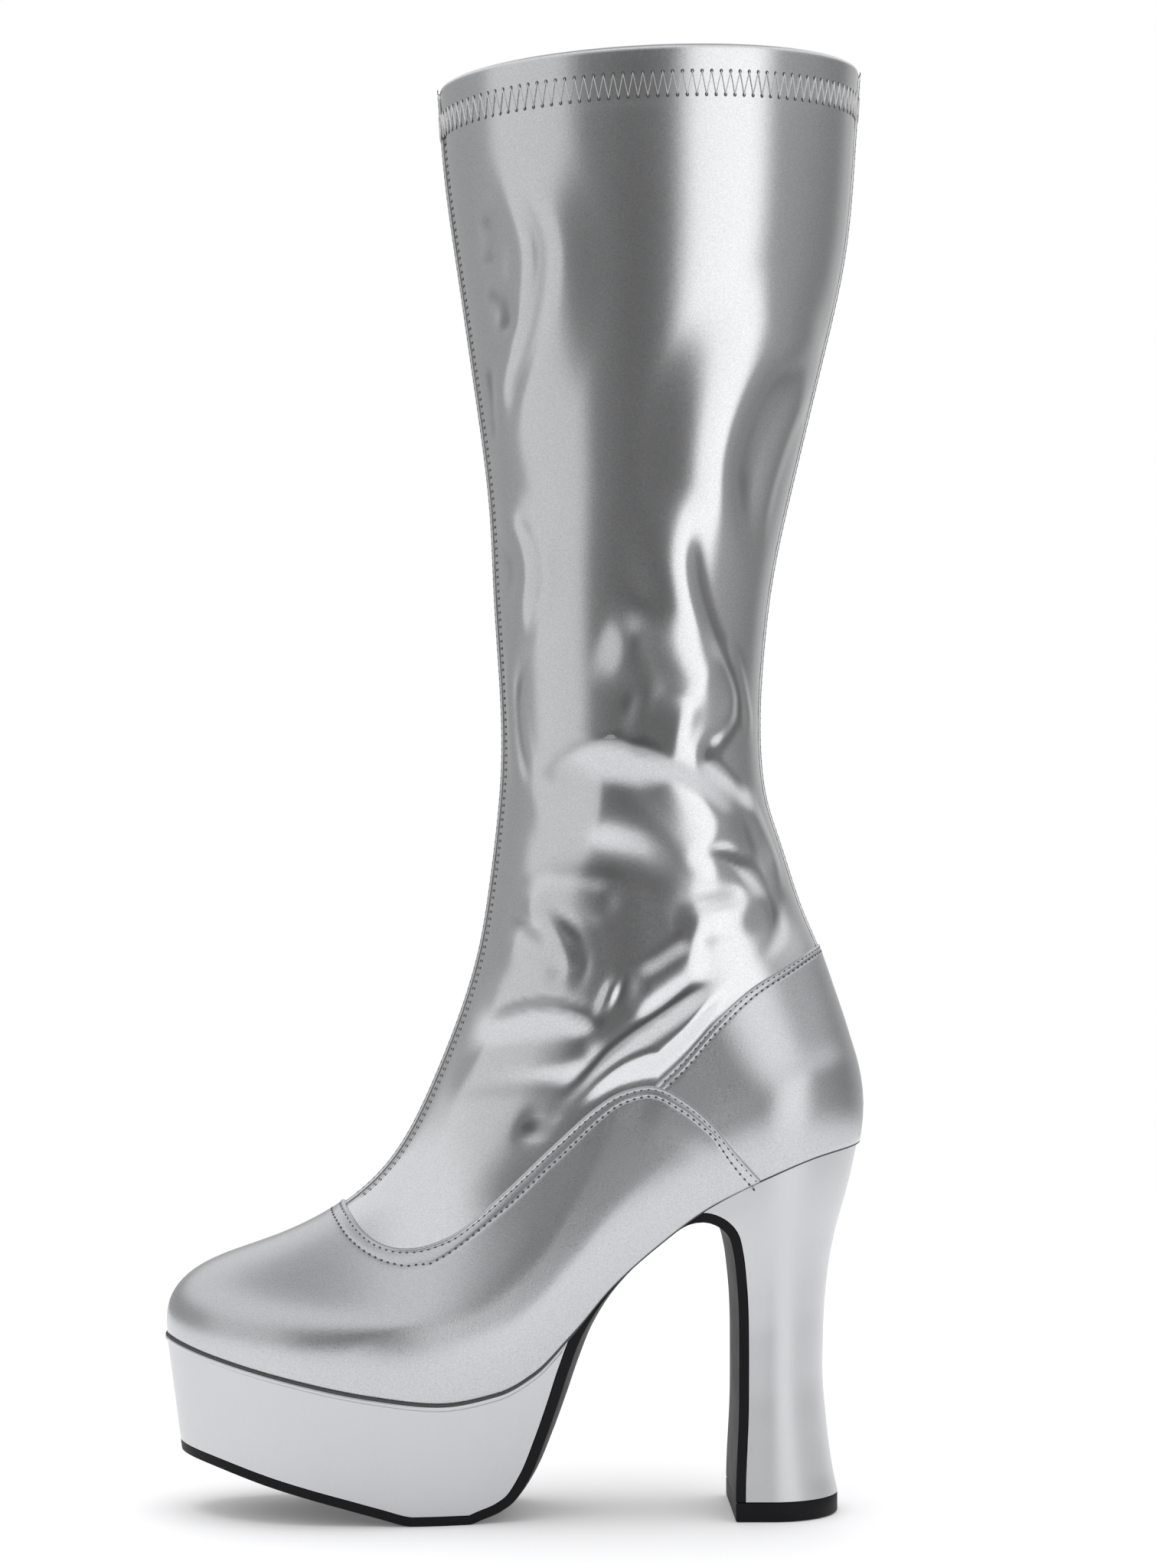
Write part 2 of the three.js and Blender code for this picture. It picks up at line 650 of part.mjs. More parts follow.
// Space above the underside's inset line, between two of its points
function aboveUnderside(inset, first, last) {
  return toSolid(acrossBody(crossStations.map((y) => {
    const line = undersideAt(inset, y).slice(first, last + 1);
    const [start, end] = [line[0], line[line.length - 1]];
    const frontX = first === 0 ? -farOut : start.x;
    const backX = last === bottomSteps ? farOut : end.x;
    const corners = [[backX, end.z], [backX, 2 * farOut], [frontX, 2 * farOut], [frontX, start.z]];
    const closing = corners.map(([x, z]) => new THREE.Vector3(x, y, z));
    const used = closing.filter((corner) => corner.distanceTo(start) > 1e-6 && corner.distanceTo(end) > 1e-6);
    return [...line, ...used];
  })));
}

// The sheet that the outsole is cut from
function outsoleSheet() {
  return toSolid(acrossBody(crossStations.map((y) => {
    const inner = undersideAt(outsoleThickness, y);
    const outer = undersideAt(0, y);
    const nose = [new THREE.Vector3(-farOut, y, inner[0].z), new THREE.Vector3(-farOut, y, outer[0].z)];
    return [...outer, ...inner.reverse(), ...nose];
  })));
}

// Levels of the sole's full form, lowest first: down is a share of its depth at each place,
// backPull and sidePull of the way from the seat's size to the tip's, as the heel narrows
const heelLevels = [
  { down: 1, backPull: 1, sidePull: 1 },
  { down: 0.93, backPull: 1.26, sidePull: 1.12 },
  { down: 0.79, backPull: 1.58, sidePull: 1.3 },
  { down: 0.65, backPull: 1.76, sidePull: 1.4 },
  { down: 0.5, backPull: 1.7, sidePull: 1.36 },
  { down: 0.37, backPull: 1.5, sidePull: 1.16 },
  { down: 0.26, backPull: 1.15, sidePull: 0.86 },
  { down: 0.16, backPull: 0.66, sidePull: 0.5 },
  { down: 0.085, backPull: 0.32, sidePull: 0.24 },
].map((level) => ({ ...level, bead: 0 }));
const beadLevels = [
  { drop: beadHeight, bead: 0 },
  { drop: 0.8 * beadHeight, bead: beadDepth },
  { drop: 0.2 * beadHeight, bead: beadDepth },
  { drop: 0, bead: 0 },
].map(({ drop, bead }) => ({ down: drop / toeLevel, backPull: 0, sidePull: 0, bead }));

// The sole's full form: the feather outline with a lip and a bead, drawn in as it goes down
// under the platform, and drawn to the heel's tip under the seat
const heelBlend = { from: placeX(0.36), length: 0.06 * lastLength };
const lipBlend = { from: placeX(0.47), length: 0.15 * lastLength };
const tipShrink = tipRound / (seatWidth / 2);
const tipBack = tipLength / 2;

function soleForm(levels) {
  const heelShare = (x) => ease((x - heelBlend.from) / heelBlend.length);
  const lipAt = (x) => mix(platformLip, seatLip, ease((x - lipBlend.from) / lipBlend.length));
  const taperAt = (out) => mix(sideTaper, toeTaper, Math.abs(out.x));
  return toSolid(fullBody(levels.map(({ down, backPull, sidePull, bead }) => {
    const drop = down * toeLevel;
    const upright = rimLoop((point) => lipAt(point.x));
    const drawnIn = rimLoop(({ x }, out) => (
      lipAt(x) - drop * taperAt(out) + (bead * lipAt(x)) / platformLip
    ));
    return upright.map((seat, i) => {
      const tipX = tipBack - (heelSetback + seatLip - seat.x) * tipShrink;
      const tipY = Math.sign(seat.y) * (tipWidth / 2) * endRound(tipBack - tipX, tipRound);
      const share = heelShare(seat.x);
      const top = seat.z - clearance;
      return new THREE.Vector3(
        mix(drawnIn[i].x, mix(seat.x, tipX, backPull), share),
        mix(drawnIn[i].y, mix(seat.y, i % sideSteps === 0 ? 0 : tipY, sidePull), share),
        mix(drawnIn[i].z - clearance - drop, mix(top, liftLevel, down), share),
      );
    });
  })));
}

const platformForm = soleForm([heelLevels[0], ...beadLevels]);
const fullForm = soleForm([...heelLevels, ...beadLevels]);

function makePlatform() {
  return solidGeometry(platformForm.intersect(aboveUnderside(layerHeight, 0, platformEnd)));
}

function makeHeel() {
  return solidGeometry(fullForm.intersect(aboveUnderside(layerHeight, breastStart, bottomSteps)));
}

function makeOutsole() {
  const plainForm = soleForm([...heelLevels, beadLevels[beadLevels.length - 1]]);
  return solidGeometry(plainForm.intersect(outsoleSheet()));
}

// Top lift: the plate that the heel stands on, with a flat front
function makeTopLift() {
  const arcSteps = 20;
  const tip = (grow) => {
    const round = tipRound + grow;
    const [middle, half] = [tipBack + grow - round, tipWidth / 2 + grow];
    const outline = new THREE.Path();
    outline.absellipse(middle, 0, round, half, -Math.PI / 2, Math.PI / 2, false, 0);
    const arc = outline.getPoints(arcSteps);
    return [...arc, new THREE.Vector2(-tipBack, arc[arcSteps].y), new THREE.Vector2(-tipBack, arc[0].y)];
  };
  const [lower, upper] = [tip(0), tip(liftDraft)];
  const count = lower.length;
  const points = [
    ...lower.map(({ x, y }) => new THREE.Vector3(x, y, 0)),
    ...upper.map(({ x, y }) => new THREE.Vector3(x, y, liftThickness)),
  ];
  const cap = THREE.ShapeUtils.triangulateShape(lower, []);
  const topCap = cap.map((face) => face.map((index) => index + count));
  const faces = [...cap.map(([a, b, c]) => [a, c, b]), ...topCap];
  for (let i = 0; i < count; i += 1) {
    const next = (i + 1) % count;
    faces.push([i, next, next + count], [i, next + count, i + count]);
  }
  return bodyGeometry({ points, faces });
}

// Finishes
const finish = (color, roughness, metalness) => ({ color, roughness, metalness });
const pearlLeather = finish('#b9bbbe', 0.32, 0.75);
const stretchPatent = finish('#c4c5c8', 0.14, 0.8);
const satinCover = finish('#cdced1', 0.36, 0.6);
const blackRubber = finish('#17171a', 0.55, 0);
const soleLining = finish('#8f8f92', 0.8, 0);

const group = new THREE.Group();
const pieces = [
  ['upper', makeUpper(), stretchPatent],
  ['vamp', makeVamp(), pearlLeather],
  ['counter', makeCounter(), pearlLeather],
  ['front_seam_tape', makeSeamTape(-1), stretchPatent],
  ['back_seam_tape', makeSeamTape(1), stretchPatent],
  ['insole', makeInsole(), soleLining],
  ['platform', makePlatform(), satinCover],
  ['outsole', makeOutsole(), blackRubber],
  ['heel', makeHeel(), satinCover],
  ['top_lift', makeTopLift(), blackRubber],
];
for (const [name, geometry, look] of pieces) {
  const mesh = new THREE.Mesh(geometry, new THREE.MeshStandardMaterial(look));
  mesh.name = name;
  group.add(mesh);
}

export default group;
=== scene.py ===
import json
import math

import bmesh
import bpy
import numpy as np
from bpy.props import FloatProperty, FloatVectorProperty, IntProperty, PointerProperty
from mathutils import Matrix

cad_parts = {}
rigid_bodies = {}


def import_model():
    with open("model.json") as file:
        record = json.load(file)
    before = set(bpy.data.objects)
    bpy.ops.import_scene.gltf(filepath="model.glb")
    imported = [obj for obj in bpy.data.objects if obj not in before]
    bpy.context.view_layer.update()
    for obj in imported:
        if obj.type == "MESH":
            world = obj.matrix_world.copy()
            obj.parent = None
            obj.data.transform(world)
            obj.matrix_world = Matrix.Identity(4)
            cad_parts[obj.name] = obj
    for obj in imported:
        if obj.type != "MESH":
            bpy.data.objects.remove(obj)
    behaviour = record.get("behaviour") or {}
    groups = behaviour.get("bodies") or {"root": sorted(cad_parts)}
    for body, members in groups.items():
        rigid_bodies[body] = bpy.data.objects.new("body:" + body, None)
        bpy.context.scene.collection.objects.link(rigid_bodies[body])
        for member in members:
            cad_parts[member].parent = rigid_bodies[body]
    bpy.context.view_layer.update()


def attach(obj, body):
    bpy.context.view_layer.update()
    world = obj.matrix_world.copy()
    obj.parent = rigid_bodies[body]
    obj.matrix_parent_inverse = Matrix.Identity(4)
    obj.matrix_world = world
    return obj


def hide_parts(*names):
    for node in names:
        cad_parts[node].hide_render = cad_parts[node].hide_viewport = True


bl_info = {
    "name": "Platform Boot",
    "version": (1, 0, 0),
    "blender": (4, 5, 0),
    "location": "3D View > Sidebar > Boot",
    "description": "Builds a left platform boot in silver round its packed frame",
    "category": "Object",
}

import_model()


# Sizes and colours

def length(name, note, value):
    """A size in metres."""
    return FloatProperty(name=name, description=note, default=value, unit="LENGTH", precision=4)


def share(name, note, value):
    """A plain number, where 1 is all of it."""
    return FloatProperty(name=name, description=note, default=value, min=0.0, max=2.0)


def count(name, note, value):
    """A number of steps."""
    return IntProperty(name=name, description=note, default=value, min=4)


def colour(name, note, value):
    """A colour in linear light."""
    return FloatVectorProperty(
        name=name, description=note, default=value, size=3, subtype="COLOR", min=0.0, max=1.0,
    )


class BootSizes(bpy.types.PropertyGroup):
    """Sizes of the boot, the same as in its solids, and those of its stitches."""

    last_length: length("Last Length", "From the toe's tip to the back of the seat", 0.2324)
    heel_setback: length("Heel Setback", "From the middle of the heel's tip to the back of the seat", 0.0244)
    ball_width: length("Ball Width", "Width of the last at the ball", 0.078)
    waist_width: length("Waist Width", "Width of the last at the waist", 0.053)
    seat_width: length("Seat Width", "Width of the last at the heel seat", 0.059)
    toe_swing: length("Toe Swing", "How far the toe's middle line swings to the inner side", 0.004)
    toe_spring: length("Toe Spring", "Rise of the feather line from the ball to the toe", 0.0184)
    toe_box_height: length("Toe Box Height", "Height of the toe box over the feather line", 0.0352)
    platform_height: length("Platform Height", "Height of the feather line at the ball", 0.041)
    heel_height: length("Heel Height", "Height of the feather line at the back of the seat", 0.125)
    ankle_height: length("Ankle Height", "Height of the ankle over the seat", 0.137)
    ankle_tilt: length("Ankle Tilt", "How much higher the ankle is at the back", 0.006)
    shaft_height: length("Shaft Height", "Height of the collar over the seat", 0.356)
    collar_tilt: length("Collar Tilt", "How much higher the collar is at the back", 0.006)
    ankle_depth: length("Ankle Depth", "Shaft from front to back at the ankle", 0.0862)
    ankle_width: length("Ankle Width", "Shaft from side to side at the ankle", 0.067)
    collar_depth: length("Collar Depth", "Shaft from front to back at the collar", 0.142)
    collar_width: length("Collar Width", "Shaft from side to side at the collar", 0.102)
    upper_wall: length("Upper Wall", "Thickness of the upper with its lining", 0.0016)
    hem_height: length("Hem Height", "Height of the folded hem", 0.014)
    hem_thickness: length("Hem Thickness", "Extra thickness of the folded hem", 0.0009)
    overlay_gap: length("Overlay Gap", "Gap under the vamp and counter", 0.0003)
    vamp_thickness: length("Vamp Thickness", "Thickness of the vamp", 0.0012)
    counter_thickness: length("Counter Thickness", "Thickness of the counter", 0.0009)
    tape_width: length("Seam Tape Width", "Width of the strips over the front and back seams", 0.0068)
    tape_thickness: length("Seam Tape Thickness", "Thickness of those strips", 0.0006)
    insole_thickness: length("Insole Thickness", "Thickness of the insole board and sock", 0.0025)
    outsole_thickness: length("Outsole Thickness", "Thickness of the black outsole", 0.003)
    platform_lip: length("Platform Lip", "How far the platform stands out past the upper", 0.0018)
    seat_lip: length("Seat Lip", "How far the heel stands out past the upper", 0.0002)
    bead_height: length("Bead Height", "Height of the rolled bead round the sole's top", 0.0018)
    bead_depth: length("Bead Depth", "How far that bead stands out", 0.0006)
    platform_crown: length("Platform Crown", "Roundness of the platform's rear face", 0.004)
    breast_crown: length("Breast Crown", "Roundness of the heel's breast", 0.0016)
    side_taper: share("Side Taper", "How much the platform narrows on its way down", 0.22)
    toe_taper: share("Toe Taper", "How much the platform shortens on its way down", 0.136)
    tip_length: length("Tip Length", "Heel's tip from front to back", 0.036)
    tip_width: length("Tip Width", "Heel's tip from side to side", 0.05)
    tip_round: length("Tip Round", "Depth of the round back of the heel's tip", 0.024)
    lift_thickness: length("Top Lift Thickness", "Thickness of the heel's black plate", 0.0065)
    stitch_pitch: length("Stitch Pitch", "From stitch to stitch in the overlays' rows", 0.0024)
    stitch_row: length("Stitch Row", "From an overlay's edge to its first row of stitches", 0.0011)
    stitch_rows_apart: length("Rows Apart", "From the first row of stitches to the second", 0.0023)
    thread_width: length("Thread Width", "Thickness of the sewing thread", 0.00055)
    zigzag_drop: length("Zigzag Drop", "From the collar's rim to the middle of the zigzag", 0.0128)
    zigzag_height: length("Zigzag Height", "Height of the zigzag", 0.0075)
    zigzag_pitch: length("Zigzag Pitch", "From point to point of the zigzag", 0.0032)
    # Painted shadow: a thin dark tube lies in the gap round the sole's top.
    seam_width: length("Seam Width", "Thickness of the dark seam round the sole", 0.001)
    fold_depth: share("Fold Depth", "Strength of the creases in the shaft", 1.0)
    columns: count("Columns", "Points round the upper", 272)
    row_pitch: length("Row Pitch", "From row to row of points up the upper", 0.00155)
    floor_radius: length("Floor Radius", "From the boot to the edge of the pale floor", 0.85)


class BootColours(bpy.types.PropertyGroup):
    """Colours of the boot and its stage."""

    patent: colour("Stretch Patent", "Glossy silver of the shaft", (0.66, 0.666, 0.678))
    pearl: colour("Pearl Leather", "Pearl silver of the vamp and counter", (0.54, 0.548, 0.562))
    satin: colour("Satin Cover", "Pale silver of the platform and heel", (0.58, 0.584, 0.596))
    rubber: colour("Black Rubber", "Outsole and top lift", (0.007, 0.007, 0.008))
    lining: colour("Lining", "Cloth inside the shaft and on the insole", (0.3, 0.3, 0.31))
    thread: colour("Thread", "Sewing thread round the collar", (0.92, 0.922, 0.93))
    seam_thread: colour("Seam Thread", "Sewing thread beside the seams", (0.4, 0.402, 0.41))
    floor: colour("Floor", "Pale floor", (0.86, 0.86, 0.865))


# Tables of the form. All numbers are shares of the named sizes, as in the solids.

# Places along the last: where the seat's, waist's and ball's widths hold, where the platform's lip
# ends, and where the heel's form begins
SEAT, WAIST, BALL = 0.13, 0.405, 0.69
LIP_END, HEEL_FRONT = 0.47, 0.36

FEATHER = {
    "along": (0, 0.062, 0.147, 0.224, 0.298, 0.362, 0.423, 0.47, 0.522, 0.6, 0.699, 0.815, 0.922, 1),
    "rise": (1, 0.963, 0.87, 0.76, 0.607, 0.446, 0.245, 0.111, 0.035, 0, 0, 0, 0, 0),
    "spring": (0, 0, 0, 0, 0, 0, 0, 0, 0, 0, 0.14, 0.43, 0.745, 1),
}

# Foot rings: front, box, climb, back, back_up, dip, fore, waist, seat, grip, toe_round, seat_round
FOOT_RINGS = (
    (1, 0, 0, 0, 0, 1, 1, 1, 1, 0, 0.258, 0.142),
    (1.006, 0.19, 0, -0.0056, 0.049, 1, 1.035, 1.07, 1.06, 0, 0.258, 0.142),
    (0.999, 0.38, 0, -0.0069, 0.098, 1, 1.055, 1.12, 1.1, 0, 0.262, 0.146),
    (0.978, 0.557, 0, -0.0034, 0.14, 1, 1.05, 1.15, 1.12, 0, 0.275, 0.15),
    (0.936, 0.713, 0, 0, 0.168, 1, 1.035, 1.16, 1.12, 0, 0.295, 0.155),
    (0.876, 0.83, 0, 0.0034, 0.192, 1, 1.02, 1.17, 1.12, 0, 0.325, 0.162),
    (0.809, 1, 0, 0.0082, 0.217, 0.87, 1, 1.17, 1.12, 0.1, 0.38, 0.185),
    (0.744, 1, 0.051, 0.0138, 0.245, 0.72, 0.98, 1.17, 1.12, 0.2, 0.435, 0.22),
    (0.691, 1, 0.113, 0.0202, 0.28, 0.6, 0.96, 1.17, 1.11, 0.35, 0.475, 0.25),
    (0.652, 1, 0.191, 0.0297, 0.325, 0.5, 0.94, 1.16, 1.1, 0.5, 0.5, 0.28),
    (0.617, 1, 0.293, 0.0439, 0.392, 0.4, 0.92, 1.16, 1.08, 0.65, 0.51, 0.32),
    (0.582, 1, 0.412, 0.059, 0.462, 0.3, 0.9, 1.15, 1.06, 0.78, 0.515, 0.37),
    (0.553, 1, 0.536, 0.083, 0.55, 0.22, 0.88, 1.15, 1.05, 0.88, 0.515, 0.42),
    (0.534, 1, 0.677, 0.113, 0.704, 0.12, 0.87, 1.15, 1.05, 0.95, 0.51, 0.46),
)

# Leg rings: level, centre, depth_open, width_open, dip
LEG_RINGS = (
    (-0.116, 0.3275, 0.05, 0, 0.05),
    (0, 0.3287, 0, 0, 0),
    (0.169, 0.3272, 0.088, 0.1, 0),
    (0.359, 0.3143, 0.271, 0.3, 0),
    (0.548, 0.3042, 0.548, 0.55, 0),
    (0.739, 0.2984, 0.812, 0.8, 0),
    (0.868, 0.3016, 0.925, 0.92, 0),
    (1, 0.3025, 1, 1, 0),
)
LEG_LEVELS = (-0.116, 0, 0.1, 0.22, 0.34, 0.46, 0.58, 0.72, 0.86, 1)

# Overlay edges in the side view: share of the last's length, share of the way up to the ankle
VAMP_EDGE = (
    (0.759, 0.24), (0.734, 0.207), (0.716, 0.184), (0.692, 0.166), (0.666, 0.158), (0.634, 0.16),
    (0.602, 0.172), (0.571, 0.192), (0.507, 0.257), (0.444, 0.327), (0.38, 0.393), (0.348, 0.415),
    (0.308, 0.425), (0.288, 0.42), (0.263, 0.404), (0.238, 0.3825), (0.213, 0.354), (0.188, 0.32),
    (0.148, 0.27), (0.125, 0.24),
)
COUNTER_EDGE = (
    (0.036, 0.664), (0.076, 0.641), (0.111, 0.6175), (0.1635, 0.5815), (0.214, 0.53),
    (0.263, 0.467), (0.301, 0.4245), (0.33, 0.392),
)

# Underside of the outsole: share of the last's length, of the platform's height, of the seat's rise
BOTTOM = (
    (0.985, 0.5, 0), (0.931, 0.44, 0), (0.841, 0.298, 0), (0.75, 0.16, 0), (0.69, 0.066, 0),
    (0.645, 0, 0), (0.56, 0, 0), (0.533, 0.049, 0), (0.509, 0.105, 0), (0.486, 0.198, 0),
    (0.463, 0.395, 0), (0.441, 0.69, 0), (0.422, 0.985, 0), (0.404, 1, 0.138), (0.383, 1, 0.28),
    (0.35, 1, 0.424), (0.301, 1, 0.569), (0.26, 1, 0.662), (0.234, 1, 0.702), (0.2155, 1, 0.69),
    (0.2, 1, 0.65), (0.192, 1, 0.577), (0.1865, 1, 0.47), (0.185, 1, 0.32),
)

# How the heel narrows on its way down: down, back_pull, side_pull
HEEL_LEVELS = (
    (0, 0, 0), (0.085, 0.32, 0.24), (0.16, 0.66, 0.5), (0.26, 1.15, 0.86), (0.37, 1.5, 1.16),
    (0.5, 1.7, 1.36), (0.65, 1.76, 1.4), (0.79, 1.58, 1.3), (0.93, 1.26, 1.12), (1, 1, 1),
)

# Creases of the shaft, placed one by one. Points are shares of the way round a side from the front
# seam to the back, and of the collar's height. Sizes are millimetres: how high the crease
# stands (a trough is negative), and how far it spreads to its left and right as it runs.
OUTER_FOLDS = (
    # Soft line beside the front seam, from the collar to the calf
    (((0.2, 0.95), (0.235, 0.915), (0.262, 0.875), (0.25, 0.84), (0.21, 0.805), (0.165, 0.78), (0.135, 0.745),
      (0.12, 0.71)), 1.6, 25, 11),
    (((0.225, 0.94), (0.255, 0.912), (0.283, 0.876), (0.27, 0.84), (0.23, 0.803), (0.19, 0.778),
      (0.155, 0.74)), -1.2, 6, 6),
    (((0.15, 0.91), (0.16, 0.885), (0.14, 0.86)), -0.8, 8, 8),
    (((0.12, 0.855), (0.17, 0.84), (0.19, 0.815)), -0.8, 8, 8),
    (((0.09, 0.81), (0.11, 0.775), (0.1, 0.74)), -0.8, 8, 8),
    # Fold at the front of the calf, which runs on to the ankle
    (((0.09, 0.715), (0.15, 0.69), (0.2, 0.672), (0.213, 0.652), (0.185, 0.628), (0.145, 0.61)), 1.8, 12, 12),
    (((0.15, 0.62), (0.12, 0.595), (0.112, 0.565), (0.13, 0.535), (0.17, 0.508), (0.2, 0.49)), 1.2, 9, 10),
    # Long edge that runs down the back of the outer side and snakes over the ankle
    (((0.93, 0.835), (0.87, 0.822), (0.8, 0.81), (0.74, 0.795), (0.7, 0.77), (0.68, 0.745), (0.68, 0.72),
      (0.7, 0.695), (0.735, 0.668), (0.75, 0.645)), 2.9, 13, 27),
    (((0.9, 0.812), (0.83, 0.8), (0.77, 0.785), (0.735, 0.76), (0.72, 0.73), (0.735, 0.7), (0.77, 0.67)),
     -0.9, 7, 8),
    (((0.94, 0.79), (0.875, 0.772), (0.835, 0.745), (0.815, 0.705), (0.835, 0.67)), 1.2, 8, 9),
    (((0.595, 0.715), (0.59, 0.68), (0.615, 0.645), (0.655, 0.618), (0.71, 0.592), (0.75, 0.575),
      (0.757, 0.562), (0.725, 0.55), (0.675, 0.54), (0.655, 0.525), (0.69, 0.512), (0.76, 0.497),
      (0.82, 0.478), (0.86, 0.455)), 3.2, 9, 20),
    (((0.74, 0.613), (0.8, 0.59), (0.85, 0.565), (0.89, 0.54)), 1.0, 5, 5),
    (((0.8, 0.51), (0.85, 0.49), (0.89, 0.462), (0.91, 0.43)), 1.4, 8, 8),
    # Slanted folds above the ankle
    (((0.4, 0.612), (0.5, 0.602), (0.6, 0.588), (0.68, 0.573), (0.75, 0.562)), 2.5, 18, 20),
    (((0.47, 0.562), (0.54, 0.556), (0.61, 0.55), (0.67, 0.545)), 1.3, 13, 16),
    # The big crescent over the ankle, with the bend at its front end
    (((0.25, 0.503), (0.32, 0.503), (0.4, 0.502), (0.5, 0.498), (0.6, 0.489), (0.7, 0.472), (0.79, 0.447)),
     4.5, 24, 26),
    (((0.24, 0.52), (0.23, 0.508), (0.245, 0.493), (0.285, 0.478), (0.32, 0.466)), 0.5, 10, 10),
    # Ripples on the front of the ankle
    (((0.18, 0.436), (0.27, 0.431), (0.36, 0.429), (0.46, 0.424)), 1.4, 11, 12),
    (((0.15, 0.44), (0.22, 0.424), (0.28, 0.409), (0.322, 0.39), (0.318, 0.37)), 1.4, 10, 9),
    (((0.12, 0.402), (0.2, 0.392), (0.29, 0.38)), 1.0, 10, 10),
    (((0.39, 0.366), (0.43, 0.363)), 1.1, 9, 9),
    (((0.45, 0.364), (0.53, 0.374), (0.61, 0.388), (0.68, 0.398)), 1.7, 11, 14),
    # Pocket in front of the counter
    (((0.58, 0.409), (0.66, 0.416), (0.74, 0.42), (0.83, 0.421)), 1.3, 9, 9),
    (((0.6, 0.438), (0.68, 0.446), (0.76, 0.444), (0.83, 0.43), (0.86, 0.41)), 1.2, 9, 9),
    # Broad slanted folds over the instep
    (((0.33, 0.273), (0.38, 0.288), (0.46, 0.306), (0.56, 0.328), (0.66, 0.348), (0.77, 0.372)), 3.0, 18, 20),
    (((0.06, 0.322), (0.14, 0.324), (0.24, 0.326), (0.34, 0.327), (0.42, 0.325)), 2.4, 16, 16),
    (((0.24, 0.277), (0.29, 0.272), (0.33, 0.275)), -1.0, 6, 6),
    # Thin valleys that outline the folds
    (((0.27, 0.49), (0.245, 0.505), (0.262, 0.522), (0.32, 0.533), (0.41, 0.538), (0.51, 0.535),
      (0.61, 0.524), (0.7, 0.507), (0.78, 0.49), (0.84, 0.468), (0.85, 0.445)), -0.7, 7, 7),
    (((0.12, 0.705), (0.17, 0.697), (0.225, 0.675), (0.24, 0.65), (0.21, 0.622), (0.17, 0.6)), -0.8, 5, 5),
    (((0.17, 0.6), (0.14, 0.57), (0.15, 0.54), (0.19, 0.51), (0.2, 0.5)), -0.7, 4, 4),
    (((0.19, 0.44), (0.27, 0.423), (0.33, 0.402), (0.345, 0.385), (0.31, 0.365)), -0.9, 5, 5),
    (((0.12, 0.342), (0.2, 0.356), (0.28, 0.358), (0.35, 0.35), (0.42, 0.336)), -0.9, 5, 5),
    (((0.6, 0.452), (0.7, 0.46), (0.8, 0.452), (0.86, 0.43), (0.87, 0.408), (0.8, 0.385)), -0.9, 5, 5),
    (((0.3, 0.285), (0.36, 0.307), (0.46, 0.333), (0.56, 0.355), (0.66, 0.377)), -0.9, 6, 6),
)
INNER_FOLDS = (
    (((0.21, 0.93), (0.25, 0.88), (0.22, 0.82), (0.15, 0.77)), 1.4, 18, 14),
    (((0.1, 0.7), (0.18, 0.67), (0.19, 0.64), (0.14, 0.6)), 1.7, 11, 12),
    (((0.9, 0.82), (0.78, 0.79), (0.7, 0.74), (0.73, 0.68)), 2.1, 15, 20),
    (((0.58, 0.7), (0.61, 0.65), (0.69, 0.6), (0.73, 0.57), (0.67, 0.54), (0.66, 0.52), (0.78, 0.49)),
     2.6, 11, 18),
    (((0.4, 0.6), (0.52, 0.59), (0.65, 0.57)), 2.2, 15, 13),
    (((0.22, 0.5), (0.36, 0.507), (0.52, 0.5), (0.68, 0.47), (0.78, 0.44)), 4.0, 18, 24),
    (((0.16, 0.44), (0.28, 0.43), (0.42, 0.425)), 1.6, 11, 11),
    (((0.15, 0.39), (0.27, 0.385), (0.34, 0.37)), 1.3, 10, 10),
    (((0.47, 0.37), (0.6, 0.39), (0.74, 0.4)), 1.7, 12, 13),
    (((0.36, 0.29), (0.48, 0.315), (0.62, 0.345), (0.76, 0.37)), 2.8, 17, 19),
    (((0.07, 0.33), (0.22, 0.328), (0.38, 0.325)), 2.2, 15, 15),
)


# Curves and small sums

# Millimetres in a metre
MM = 1000

# Share of a crease's length over which each end runs out
FOLD_END = 0.28


def mix(a, b, part):
    """From a to b."""
    return a + (b - a) * part


def ease(value):
    """Soft step from 0 to 1."""
    t = np.clip(value, 0.0, 1.0)
    return t * t * (3.0 - 2.0 * t)


def end_round(distance, reach):
    """Round closing of an end, from 0 at its tip to 1 where the round stops."""
    return np.sqrt(np.maximum(0.0, 1.0 - (1.0 - np.clip(distance / reach, 0.0, 1.0)) ** 2))


def unit(vectors):
    """Vectors at length one."""
    return vectors / np.maximum(np.linalg.norm(vectors, axis=-1, keepdims=True), 1e-12)


def curve_through(places, values):
    """Smooth line through a table, whose slopes never overshoot."""
    places, values = np.asarray(places, float), np.asarray(values, float)
    steps = np.diff(values) / np.diff(places)
    before, after = np.r_[steps[:1], steps], np.r_[steps, steps[-1:]]
    turning = before * after <= 0
    slopes = np.where(turning, 0.0, 2 * before * after / np.where(turning, 1.0, before + after))

    def read(place):
        i = np.clip(np.searchsorted(places, place) - 1, 0, len(places) - 2)
        width = places[i + 1] - places[i]
        t = np.clip((place - places[i]) / width, 0.0, 1.0)
        return (values[i] * (1 + 2 * t) * (1 - t) ** 2 + values[i + 1] * t * t * (3 - 2 * t)
                + slopes[i] * width * t * (1 - t) ** 2 - slopes[i + 1] * width * t * t * (1 - t))

    return read


